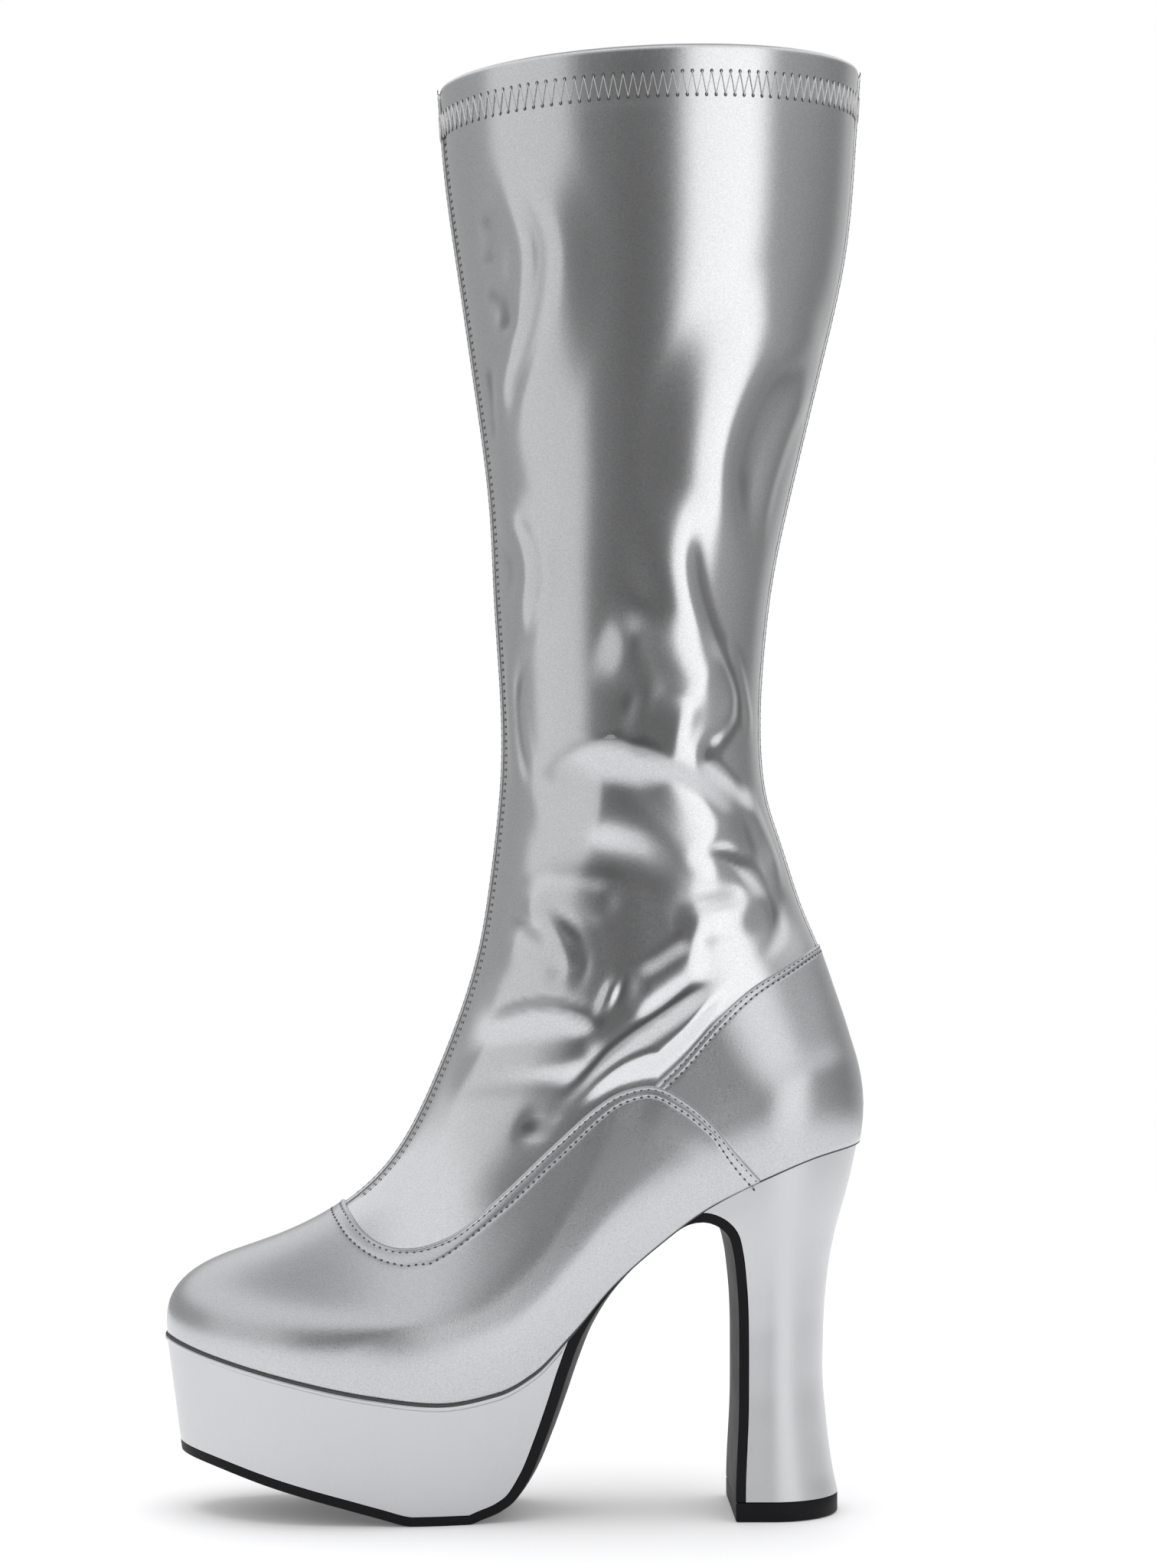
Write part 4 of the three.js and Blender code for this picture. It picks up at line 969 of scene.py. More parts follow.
def stitch_tree():
    """Small rounded shapes an even way apart along paths that carry their outward directions."""
    tree = Tree("Stitches", [
        ("Pitch", "NodeSocketFloat"), ("Shift", "NodeSocketFloat"),
        ("Size", "NodeSocketVector"), ("Material", "NodeSocketMaterial"),
    ])
    entry = tree.entry.outputs
    curve = tree.node("GeometryNodeMeshToCurve", Mesh=entry["Geometry"]).outputs[0]
    even = tree.resample(curve, "LENGTH", Length=entry["Pitch"])
    along = tree.node("GeometryNodeInputTangent").outputs[0]
    offset = tree.math("SCALE", along, entry["Shift"], vector=True)
    moved = tree.node("GeometryNodeSetPosition", Geometry=even, Offset=offset).outputs[0]
    turn = tree.turn("X", along, "Z", tree.attribute("out"))
    ball = tree.node("GeometryNodeMeshUVSphere", Segments=7, Rings=5, Radius=0.5).outputs[0]
    grain = tree.node("GeometryNodeTransform", Geometry=ball, Scale=entry["Size"]).outputs[0]
    laid = tree.node("GeometryNodeInstanceOnPoints", Points=moved, Instance=grain, Rotation=turn)
    tree.close(laid.outputs[0], entry["Material"])
    return tree


def zigzag_tree(holes):
    """A thread along a closed path, up and down by a height, or the needle holes at its points."""
    tree = Tree("Zigzag Holes" if holes else "Zigzag", [
        ("Points", "NodeSocketInt"), ("Height", "NodeSocketFloat"), ("Lift", "NodeSocketFloat"),
        ("Thread", "NodeSocketFloat"), ("Material", "NodeSocketMaterial"),
    ])
    entry = tree.entry.outputs
    curve = tree.node("GeometryNodeMeshToCurve", Mesh=entry["Geometry"]).outputs[0]
    even = tree.resample(curve, "COUNT", Count=entry["Points"])
    index = tree.node("GeometryNodeInputIndex").outputs[0]
    beat = tree.math("SUBTRACT", tree.math("MODULO", index, 2.0), 0.5)
    swing = tree.math("MULTIPLY", beat, entry["Height"])
    rise = tree.math("SCALE", tree.attribute("rise"), swing, vector=True)
    lift = tree.math("SCALE", tree.attribute("out"), entry["Lift"], vector=True)
    offset = tree.math("ADD", rise, lift, vector=True)
    moved = tree.node("GeometryNodeSetPosition", Geometry=even, Offset=offset).outputs[0]
    if holes:
        turn = tree.turn("Z", tree.attribute("out"), "X", tree.attribute("rise"))
        ball = tree.node("GeometryNodeMeshUVSphere", Segments=8, Rings=5, Radius=0.5).outputs[0]
        wide = tree.math("MULTIPLY", entry["Thread"], 1.5)
        flat = tree.node("ShaderNodeCombineXYZ", X=tree.math("MULTIPLY", wide, 1.25), Y=wide,
                         Z=tree.math("MULTIPLY", wide, 0.3)).outputs[0]
        grain = tree.node("GeometryNodeTransform", Geometry=ball, Scale=flat).outputs[0]
        made = tree.node("GeometryNodeInstanceOnPoints", Points=moved, Instance=grain, Rotation=turn)
    else:
        half = tree.math("MULTIPLY", entry["Thread"], 0.5)
        ring = tree.node("GeometryNodeCurvePrimitiveCircle", Resolution=6, Radius=half).outputs[0]
        made = tree.node("GeometryNodeCurveToMesh", Curve=moved, Profile_Curve=ring)
    tree.close(made.outputs[0], entry["Material"])
    return tree


def path_mesh(paths, closed=False):
    """Drawn lines as a mesh. Each path is its points and named directions at them."""
    points, edges, first = [], [], 0
    for path, _ in paths:
        n = len(path)
        points += np.asarray(path, float).tolist()
        edges += [(first + i, first + (i + 1) % n) for i in range(n if closed else n - 1)]
        first += n
    mesh = bpy.data.meshes.new("path")
    mesh.from_pydata(points, edges, [])
    for name in paths[0][1]:
        values = np.vstack([marks[name] for _, marks in paths]).astype(np.float32)
        mesh.attributes.new(name, "FLOAT_VECTOR", "POINT").data.foreach_set("vector", values.ravel())
    return mesh


# Finishes

class Wire:
    """One value in a node tree, used in sums like a number."""

    def __init__(self, shading, socket):
        self.shading, self.socket = shading, socket

    def sum(self, operation, *values):
        return self.shading.math(operation, *values)

    def __add__(self, other):
        return self.sum("ADD", self, other)

    def __radd__(self, other):
        return self.sum("ADD", other, self)

    def __sub__(self, other):
        return self.sum("SUBTRACT", self, other)

    def __rsub__(self, other):
        return self.sum("SUBTRACT", other, self)

    def __mul__(self, other):
        return self.sum("MULTIPLY", self, other)

    def __rmul__(self, other):
        return self.sum("MULTIPLY", other, self)

    def __truediv__(self, other):
        return self.sum("DIVIDE", self, other)

    def __neg__(self):
        return self.sum("MULTIPLY", self, -1.0)


class Shading:
    """The node tree of a finish or of the studio."""

    def __init__(self, tree):
        self.tree = tree
        tree.nodes.clear()

    def node(self, kind, settings=None, sockets=None):
        """A node: its settings first, then its sockets."""
        node = self.tree.nodes.new(kind)
        for key, value in (settings or {}).items():
            if key == "stops":
                lay_stops(node.color_ramp, value)
            else:
                setattr(node, key, value)
        for key, value in (sockets or {}).items():
            self.put(node.inputs[key], value)
        return node

    def put(self, socket, value):
        """Links a socket, or sets its value."""
        if isinstance(value, Wire):
            self.tree.links.new(value.socket, socket)
        elif isinstance(value, bpy.types.NodeSocket):
            self.tree.links.new(value, socket)
        else:
            socket.default_value = value

    def wire(self, kind, settings=None, sockets=None, output=0):
        """A node's output, ready for sums."""
        return Wire(self, self.node(kind, settings, sockets).outputs[output])

    def math(self, operation, *values):
        """A sum of numbers."""
        node = self.node("ShaderNodeMath", {"operation": operation})
        for socket, value in zip(node.inputs, values):
            self.put(socket, value)
        return Wire(self, node.outputs[0])

    def blend(self, part, a, b):
        """A colour between two."""
        return self.wire("ShaderNodeMix", {"data_type": "RGBA"}, {0: part, 6: a, 7: b}, output=2)

    def soft_step(self, value, start, end):
        """Soft step from 0 to 1 between two values."""
        settings = {"interpolation_type": "SMOOTHSTEP"}
        return self.wire("ShaderNodeMapRange", settings, {"Value": value, "From Min": start, "From Max": end})

    def noise(self, scale, detail, stretch=None):
        """Soft noise from 0 to 1 in the boot's own frame, scale in bumps per metre."""
        place = self.wire("ShaderNodeTexCoord", output="Object")
        if stretch:
            place = self.wire("ShaderNodeMapping", {}, {"Vector": place, "Scale": stretch})
        return self.wire("ShaderNodeTexNoise", {}, {"Vector": place, "Scale": scale, "Detail": detail})

    def bump(self, height, strength, distance):
        """The surface's directions, moved by a height."""
        sockets = {"Height": height, "Strength": strength, "Distance": distance}
        return self.wire("ShaderNodeBump", {}, sockets)

    def surface(self, sockets):
        """Ends a material in one Principled shader."""
        shader = self.node("ShaderNodeBsdfPrincipled", {}, sockets)
        out = self.node("ShaderNodeOutputMaterial")
        self.tree.links.new(shader.outputs[0], out.inputs["Surface"])


def lay_stops(ramp, stops):
    """Stops of a ramp, from grey values or colours."""
    while len(ramp.elements) > 1:
        ramp.elements.remove(ramp.elements[-1])
    for i, (place, value) in enumerate(stops):
        stop = ramp.elements[0] if i == 0 else ramp.elements.new(place)
        stop.position = place
        stop.color = (value, value, value, 1.0) if np.isscalar(value) else (*value, 1.0)


def finish(name):
    """A named material, with its empty shading only when it is new."""
    made = bpy.data.materials.get(name)
    if made:
        return made, None
    made = bpy.data.materials.new(name)
    made.use_nodes = True
    return made, Shading(made.node_tree)


def shade_of(value, part):
    """A colour made lighter or darker."""
    return tuple(min(1.0, c * part) for c in value) + (1.0,)


def stretch_patent():
    """Glossy silver stretch patent: a bright metal ground under a clear lacquer, with painted shade in the
    creases' hollows.
    """
    material, s = finish("patent_finish")
    if s:
        colour = bpy.context.scene.boot_colours.patent
        flake = s.noise(1900.0, 1.0)
        cloud = s.noise(26.0, 2.0)
        hollow = s.wire("ShaderNodeAttribute", {"attribute_name": "hollow"}, output="Fac")
        silver = s.blend(flake * 1.6 - 0.4 + cloud * 0.2, shade_of(colour, 0.88), shade_of(colour, 1.12))
        # Painted shade: the patent's colour is darkened where the creases are hollow.
        ground = s.blend(hollow * 0.6, silver, shade_of(colour, 0.35))
        peel = s.bump(s.noise(300.0, 1.0), 0.03, 0.0003)
        s.surface({
            "Base Color": ground, "Metallic": 1.0, "Roughness": 0.19 + 0.02 * cloud, "Normal": peel,
            "Coat Weight": 0.7, "Coat Roughness": 0.04, "Coat IOR": 1.5,
        })
    return material


def pearl_leather():
    """Pearl silver leather: fine speckle and grain under a soft gloss."""
    material, s = finish("pearl_finish")
    if s:
        colour = bpy.context.scene.boot_colours.pearl
        speckle = s.noise(2600.0, 1.0)
        grain = s.noise(1500.0, 3.0)
        ground = s.blend(speckle * 2.0 - 0.5, shade_of(colour, 0.86), shade_of(colour, 1.14))
        skin = s.bump(grain * 0.6 + speckle * 0.4, 0.16, 0.0003)
        s.surface({
            "Base Color": ground, "Metallic": 0.97, "Roughness": 0.25 + 0.08 * speckle, "Normal": skin,
            "Coat Weight": 0.25, "Coat Roughness": 0.22, "Coat IOR": 1.5,
        })
    return material


def satin_cover():
    """Pale silver cover of the platform and heel, with a faint pull along its height."""
    material, s = finish("satin_finish")
    if s:
        colour = bpy.context.scene.boot_colours.satin
        speckle = s.noise(3000.0, 2.0)
        pull = s.noise(90.0, 3.0, stretch=(1.0, 1.0, 0.12))
        ground = s.blend(speckle * 0.7 + pull * 0.3, shade_of(colour, 0.93), shade_of(colour, 1.07))
        skin = s.bump(speckle * 0.5 + pull * 0.5, 0.1, 0.0003)
        s.surface({
            "Base Color": ground, "Metallic": 0.93, "Roughness": 0.33 + 0.08 * pull, "Normal": skin,
            "Coat Weight": 0.3, "Coat Roughness": 0.2, "Coat IOR": 1.5,
        })
    return material


def black_rubber():
    """Black rubber of the outsole and top lift, finely pitted."""
    material, s = finish("rubber_finish")
    if s:
        colour = bpy.context.scene.boot_colours.rubber
        pits = s.noise(1600.0, 3.0)
        worn = s.noise(60.0, 3.0)
        ground = s.blend(worn, shade_of(colour, 0.8), shade_of(colour, 1.7))
        s.surface({
            "Base Color": ground, "Roughness": 0.42 + 0.16 * worn, "Normal": s.bump(pits, 0.2, 0.0003),
            "Specular IOR Level": 0.1,
        })
    return material


def sole_lining():
    """Grey lining cloth inside the boot, with a plain weave."""
    material, s = finish("lining_finish")
    if s:
        colour = bpy.context.scene.boot_colours.lining
        place = s.wire("ShaderNodeTexCoord", output="Object")
        yarns = {"Vector": place, "Scale": 420.0}
        warp = s.wire("ShaderNodeTexWave", {"bands_direction": "Z"}, yarns, output=1)
        weft = s.wire("ShaderNodeTexWave", {"bands_direction": "X"}, yarns, output=1)
        weave = warp * 0.5 + weft * 0.5
        cloud = s.noise(70.0, 3.0)
        ground = s.blend(weave * 0.6 + cloud * 0.4, shade_of(colour, 0.82), shade_of(colour, 1.15))
        cloth = s.bump(weave, 0.35, 0.0004)
        s.surface({"Base Color": ground, "Roughness": 0.78 + 0.12 * cloud, "Normal": cloth})
    return material


def thread(silver=False):
    """Twisted thread: white round the collar, silver beside the seams."""
    material, s = finish("seam_thread_finish" if silver else "thread_finish")
    if s:
        colours = bpy.context.scene.boot_colours
        colour = colours.seam_thread if silver else colours.thread
        twist = s.noise(2600.0, 1.0)
        ground = s.blend(twist, shade_of(colour, 0.8), shade_of(colour, 1.2))
        s.surface({
            "Base Color": ground, "Metallic": 0.15, "Roughness": 0.32 + 0.1 * twist,
            "Normal": s.bump(twist, 0.3, 0.0002),
        })
    return material


def hole_and_gap_shade():
    """Painted shade: the dark bottom of a needle hole, also laid as the painted shadow in the gap round the
    sole.
    """
    material, s = finish("painted_hole_shade_finish")
    if s:
        dust = s.noise(2000.0, 1.0)
        ground = s.blend(dust, (0.03, 0.03, 0.033, 1.0), (0.09, 0.09, 0.095, 1.0))
        s.surface({"Base Color": ground, "Roughness": 0.7 + 0.1 * dust})
    return material


# Makers

FORMS = {}


def boot_form():
    """The boot's form at the sizes that are set, worked out once for each set of sizes."""
    sizes = bpy.context.scene.boot_sizes
    key = tuple(getattr(sizes, name) for name in BootSizes.__annotations__)
    if key not in FORMS:
        FORMS[key] = BootForm(sizes)
    return FORMS[key]


def folded_upper(form, around, up, offset):
    """Points of the upper with its creases, moved outwards by an offset."""
    plain = form.upper(around, up)
    out = form.outward(around, up)
    bare = form.covered(around)
    calm = ease((up - bare - 0.001) / 0.011) * ease((form.height - up - 0.017) / 0.025)
    depth = form.read(form.creases, around, up) * calm
    return plain + out * (depth + offset)[..., None], out


class MakeUpper(bpy.types.Operator):
    """Makes the upper: one sheet from the feather line to the collar, with creases and a folded hem"""

    bl_idname = "boot.make_upper"
    bl_label = "Make Upper"

    def execute(self, context):
        form, s = boot_form(), context.scene.boot_sizes
        wall, hem = s.upper_wall, s.upper_wall + s.hem_thickness
        top = form.height - hem / 2
        hem_zone = 0.0225
        near_top = np.arange(0.0, hem_zone, 0.0009)
        low_rows = np.linspace(0, top - hem_zone, int((top - hem_zone) / s.row_pitch) + 1)
        outer = np.r_[low_rows, top - near_top[::-1]]
        bend = np.linspace(0, math.pi, 8)[1:-1]
        inner = np.r_[top - np.array([0, 0.004, 0.009, s.hem_height - 0.0006, s.hem_height + 0.0006]),
                      np.linspace(top - 0.02, 0, 20)]
        ups = np.r_[outer, np.full(len(bend), top), inner]
        inside = np.where(inner > top - s.hem_height, -hem, -wall)
        offsets = np.r_[np.zeros(len(outer)), -hem / 2 + hem / 2 * np.cos(bend), inside]
        raised = np.r_[np.zeros(len(outer)), hem / 2 * np.sin(bend), np.zeros(len(inner))]
        groove = np.abs(form.height - outer - s.zigzag_drop) - s.zigzag_height / 2
        offsets[:len(outer)] -= 0.0001 * np.exp(-(np.maximum(groove, 0) / 0.003) ** 2)
        outer_side = round(s.columns * 0.62)
        inner_side = s.columns - outer_side
        around = np.r_[np.arange(outer_side) / outer_side, 1 + np.arange(inner_side) / inner_side]
        grid_round, grid_up = np.broadcast_arrays(around[None], ups[:, None])
        points, _ = folded_upper(form, grid_round, grid_up, offsets[:, None] + 0 * grid_round)
        lift = form.upper(around, form.height) - form.upper(around, form.height - 0.003)
        points = points + raised[:, None, None] * unit(lift)[None]
        faces = grid_faces(len(ups), s.columns, around=True, over=True)
        rows = np.repeat(np.arange(len(ups)), s.columns)
        cloth = rows >= len(outer) + len(bend) + 3
        piece = add_piece("boot_upper", points, faces, [stretch_patent(), sole_lining()],
                          "upper", picks=cloth)
        # Painted shade for the creases' hollows, stored at the points for the patent's colour.
        hollow = form.read(form.hollows, grid_round, grid_up)
        painted_shade_layer = piece.data.attributes.new("hollow", "FLOAT", "POINT")
        painted_shade_layer.data.foreach_set("value", hollow.ravel().astype(np.float32))
        return {"FINISHED"}


# Ways down from an overlay's edge and up from its foot to its rows of points
TOP_STEPS = np.array((0, 0.12, 0.3, 0.5, 0.75, 0.95, 1.1, 1.25, 1.45, 1.8, 2.3, 2.8, 3.1, 3.25, 3.4, 3.55,
                      3.75, 4.1, 4.7, 5.6, 7.0)) / MM
FOOT_STEPS = np.array((2.6, 1.7, 1.0, 0.5, 0.2, 0)) / MM

# How deep a stitch lies in its overlay
STITCH_SINK = 0.0001


def overlay_rows(top, low, stretch, middle):
    """Ways up each line for an overlay: close together under its edge and over its foot."""
    room = top - low
    need = TOP_STEPS[-1] * stretch + FOOT_STEPS[0] + 0.003
    shrink = np.minimum(1.0, room / need)
    heads = top[None] - TOP_STEPS[:, None] * (stretch * shrink)[None]
    feet = low[None] + FOOT_STEPS[:, None] * shrink[None]
    parts = np.linspace(0, 1, middle + 2)[1:-1, None]
    between = heads[-1][None] * (1 - parts) + feet[0][None] * parts
    return np.vstack([heads, between, feet])


def overlay_sheet(form, name, around, top, low, thick, node, stretch, middle, tuck, extra=0.0):
    """An overlay as a closed sheet with a folded edge, a stitched border and a tucked foot."""
    s = form.s
    ups = overlay_rows(top, low, stretch, middle)
    wide = np.broadcast_to(around[None], ups.shape)
    gap = (top[None] - ups) / stretch[None]
    full = s.overlay_gap + thick + extra * (1 - ease((gap - 0.004) / 0.014))
    closing = end_round(gap, 0.0008)
    height = mix(0.0003, full, closing)
    for row in border_rows(s):
        height = height - 0.00016 * np.exp(-((gap - row) / 0.00035) ** 2)
    height = height + 0.0004 * np.exp(-((gap - 0.0006) / 0.00045) ** 2)
    height = mix(tuck * full, height, end_round(ups - low[None], 0.0016)) if tuck < 1 else height
    outside = form.upper(wide, ups) + form.outward(wide, ups) * height[..., None]
    picks = np.unique(np.r_[np.arange(0, len(ups), 4), len(ups) - 1])
    under = 0.00004 + 0.0002 * ease(gap[picks] / 0.003)
    inside = form.upper(wide[picks], ups[picks]) + form.outward(wide[picks], ups[picks]) * under[..., None]
    points = np.concatenate([outside[::-1], inside])
    faces = closed_faces(*points.shape[:2])
    return add_piece(name, points, faces, [pearl_leather()], node)


def border_path(form, around, top, stretch, gap, height):
    """A line of stitches that keeps a way from an overlay's edge."""
    up = top - gap * stretch
    out = form.outward(around, up)
    return form.upper(around, up) + out * height, {"out": out}


def border_rows(s):
    """Ways from an overlay's edge to its two rows of stitches."""
    return s.stitch_row, s.stitch_row + s.stitch_rows_apart


def sew(name, paths):
    """Stitches and their needle holes along paths."""
    s = bpy.context.scene.boot_sizes
    tree = stitch_tree()
    size = (s.stitch_pitch * 0.55, s.thread_width * 0.6, s.thread_width * 0.3)
    tree.run(name + "_stitches", path_mesh(paths), {
        "Pitch": s.stitch_pitch, "Shift": 0.0, "Size": size, "Material": thread(silver=True),
    }, "pearl_leather")
    # Needle holes, dark with painted shade for their depth.
    hole = (s.thread_width * 2.1, s.thread_width * 1.45, s.thread_width * 0.6)
    tree.run(name + "_needle_holes", path_mesh(paths), {
        "Pitch": s.stitch_pitch, "Shift": s.stitch_pitch / 2, "Size": hole, "Material": hole_and_gap_shade(),
    }, "pearl_leather")


class MakeVamp(bpy.types.Operator):
    """Makes the vamp, with its folded edge and two rows of stitches"""

    bl_idname = "boot.make_vamp"
    bl_label = "Make Vamp"

    def execute(self, context):
        form, s = boot_form(), context.scene.boot_sizes
        part = np.linspace(-1, 1, 341)
        around = form.vamp_end * part
        top = form.vamp_top(around)
        low = np.zeros(len(around))
        stretch = form.edge_stretch(around, top)
        side = np.abs(around)
        over = ease((side - form.counter_start + 0.02) / 0.06)
        edge_gap = 0.0005 * over
        overlay_sheet(form, "boot_vamp", around, top, low, s.vamp_thickness, "vamp", stretch,
                      middle=26, tuck=0.45, extra=edge_gap[None])
        paths = []
        for gap in border_rows(s):
            kept = side < form.vamp_end * 0.992
            height = (s.overlay_gap + s.vamp_thickness + edge_gap)[kept] - STITCH_SINK
            paths.append(border_path(form, around[kept], top[kept], stretch[kept], gap, height[:, None]))
        sew("vamp", paths)
        return {"FINISHED"}


class MakeCounter(bpy.types.Operator):
    """Makes the counter, with its folded edge and two rows of stitches"""

    bl_idname = "boot.make_counter"
    bl_label = "Make Counter"

    def execute(self, context):
        form, s = boot_form(), context.scene.boot_sizes
        around = np.linspace(form.counter_start + 0.001, 2 - form.counter_start - 0.001, 261)
        top = form.counter_top(around)
        under = np.where(form.vamp_top(around) > 0.0008, form.vamp_top(around) - 0.0009, 0.0)
        low = np.clip(under, 0.0, top - 0.0006)
        stretch = form.edge_stretch(around, top)
        overlay_sheet(form, "boot_counter", around, top, low, s.counter_thickness, "counter", stretch,
                      middle=18, tuck=0.6)
        paths = []
        for gap in border_rows(s):
            kept = top - gap * stretch > form.vamp_top(around) + 0.0012
            height = s.overlay_gap + s.counter_thickness - STITCH_SINK
            paths.append(border_path(form, around[kept], top[kept], stretch[kept], gap, height))
        sew("counter", paths)
        return {"FINISHED"}


class MakeSeamTapes(bpy.types.Operator):
    """Makes the strips over the front and back seams, with their rows of stitches"""

    bl_idname = "boot.make_seam_tapes"
    bl_label = "Make Seam Tapes"

    def execute(self, context):
        form, s = boot_form(), context.scene.boot_sizes
        half = s.tape_width / 2
        close, wide_row = 0.0009, 0.0024
        self.sew_beside(form, s)
        across = half * np.sin(np.linspace(-1, 1, 25) * math.pi / 2)
        for name, node, middle in (("front", "front_seam_tape", 0.0), ("back", "back_seam_tape", 1.0)):
            low = float(form.covered(middle)) - 0.0012
            ups = np.linspace(low, form.height - s.upper_wall, 190)
            around = middle + across[None] / form.half_girth(ups)[:, None]
            wide = np.broadcast_to(ups[:, None], around.shape)
            edge = (half - np.abs(across))[None] * np.ones_like(wide)
            height = mix(0.00012, s.tape_thickness + 0.0002, end_round(edge, 0.0007))
            for row in (close, wide_row):
                height = height - 0.00012 * np.exp(-((np.abs(across)[None] - row) / 0.0003) ** 2)
            outside, _ = folded_upper(form, around, wide, height)
            inside, _ = folded_upper(form, around, wide, 0.00002 + 0 * height)
            points = np.concatenate([outside, inside[::-1]], axis=0)
            faces = closed_faces(*points.shape[:2])
            add_piece(f"boot_{name}_seam_tape", points, faces, [stretch_patent()], node)
            paths = []
            for row in (-wide_row, -close, close, wide_row):
                line = middle + row / form.half_girth(ups)
                level = s.tape_thickness + 0.00008 + 0 * ups
                points, out = folded_upper(form, line, ups, level)
                kept = ups > low + 0.003
                paths.append((points[kept], {"out": out[kept]}))
            sew(f"{name}_seam", paths)
        return {"FINISHED"}

    def sew_beside(self, form, s):
        """Two rows that hold the seam's turned edges on each side of the front strip."""
        paths = []
        ups = np.linspace(float(form.covered(0.04)) + 0.004, form.height - s.hem_height - 0.002, 180)
        for gap in (0.006, 0.0078):
            for side in (-1, 1):
                points, out = folded_upper(form, side * gap / form.half_girth(ups), ups, 0 * ups)
                paths.append((points, {"out": out}))
        sew("front_seam_side", paths)


class MakeZigzag(bpy.types.Operator):
    """Sews the collar's zigzag, with its needle holes"""

    bl_idname = "boot.make_zigzag"
    bl_label = "Make Zigzag Seam"

    def execute(self, context):
        form, s = boot_form(), context.scene.boot_sizes
        around = np.linspace(0, 2, 720, endpoint=False)
        up = np.full(len(around), form.height - s.zigzag_drop)
        points, out = folded_upper(form, around, up, 0.0 * around)
        lip = np.minimum(fold_back(around), 1 - fold_back(around)) * form.half_girth(up[0])
        points = points + out * (s.tape_thickness * ease((0.0042 - lip) / 0.001))[:, None]
        rise = unit(form.upper(around, up + 0.002) - form.upper(around, up - 0.002))
        girth = 2 * float(form.half_girth(up[0]))
        beats = 2 * round(girth / s.zigzag_pitch)
        marks = {"out": out, "rise": rise}
        wide = s.thread_width * 1.5
        # The collar's needle holes are dark with painted shade for their depth.
        parts = (
            ("collar_zigzag", False, 0.0001, thread()),
            ("collar_needle_holes", True, -0.00012, hole_and_gap_shade()),
        )
        for name, holes, lift, dye in parts:
            path = path_mesh([(points, marks)], closed=True)
            zigzag_tree(holes).run(name, path, {
                "Points": beats, "Height": s.zigzag_height, "Lift": lift, "Thread": wide, "Material": dye,
            }, "stretch_patent")
        return {"FINISHED"}


def across_rows(form, left, right, places, inset, steps):
    """Rows across the sole on the underside's inset, from the outer wall to the inner one."""
    part = np.linspace(0, 1, steps)[None]
    y = left[:, None, 1] * (1 - part) + right[:, None, 1] * part
    points = form.under(np.broadcast_to(places[:, None], y.shape), y, inset)
    points[:, 0], points[:, -1] = left, right
    return points


class MakePlatform(bpy.types.Operator):
    """Makes the covered platform, with its rolled bead"""

    bl_idname = "boot.make_platform"
    bl_label = "Make Platform"

    def execute(self, context):
        form, s = boot_form(), context.scene.boot_sizes
        inset = s.outsole_thickness + s.overlay_gap
        first = form.first_place(inset)
        last = form.thin_place(inset)
        places = first + (last - first) * np.linspace(0, 1, 150) ** 1.5
        body = Patches()
        roll = np.linspace(0, 1, 9)
        rest = np.linspace(0, 1, 15)[1:]
        bead_down = s.bead_height / form.toe_level * roll
        over_bead = 2 * np.r_[roll, np.ones(len(rest))] - 1
        bead = s.bead_depth * np.sqrt(np.clip(1 - over_bead ** 2, 0, 1))
        walls = []
        for inner in (False, True):
            around, deep = form.meet(places, inset, inner)
            around[0] = 0.0
            room = np.minimum(bead_down[-1], deep * 0.5)
            downs = np.vstack([roll[:, None] * room[None], room[None] + rest[:, None] * (deep - room)[None]])
            walls.append(form.sole(np.broadcast_to(around[None], downs.shape), downs, bead[:, None]))
        left, right = walls
        body.grid(np.concatenate([right[:, ::-1], left[:, 1:]], axis=1))
        bottom = across_rows(form, left[-1], right[-1], places, inset, steps=17)
        body.grid(bottom)
        body.grid(np.stack([left[0], right[0]], axis=1))
        body.cap(np.vstack([left[:, -1], bottom[-1, 1:-1], right[::-1, -1]]))
        body.add("platform", satin_cover(), "satin_cover", crisp=38)
        return {"FINISHED"}


class MakeSoleGapShadow(bpy.types.Operator):
    """Makes the painted shadow: a dark line in the gap where the upper meets the platform and the heel"""

    bl_idname = "boot.make_sole_seam"
    bl_label = "Make Sole Seam"

    def execute(self, context):
        form, s = boot_form(), context.scene.boot_sizes
        steps = 900
        around = np.linspace(0, 2, steps, endpoint=False)
        heel_part = ease((form.rim(around, 0.0)[0][:, 0] - form.x_at(LIP_END)) / 0.03)
        lip = mix(s.platform_lip, s.seat_lip, heel_part)
        points, out = form.rim(around, lip + mix(-0.0001, 0.0005, heel_part))
        flat = np.concatenate([out, 0 * around[:, None]], axis=1)
        marks = {"out": flat, "rise": 0 * flat + (0.0, 0.0, 1.0)}
        # Painted shadow: a dark tube where the gap between the upper and the sole is shaded.
        zigzag_tree(holes=False).run("sole_seam", path_mesh([(points, marks)], closed=True), {
            "Points": steps, "Height": 0.0, "Lift": 0.0, "Thread": s.seam_width, "Material": hole_and_gap_shade(),
        }, "black_rubber")
        return {"FINISHED"}


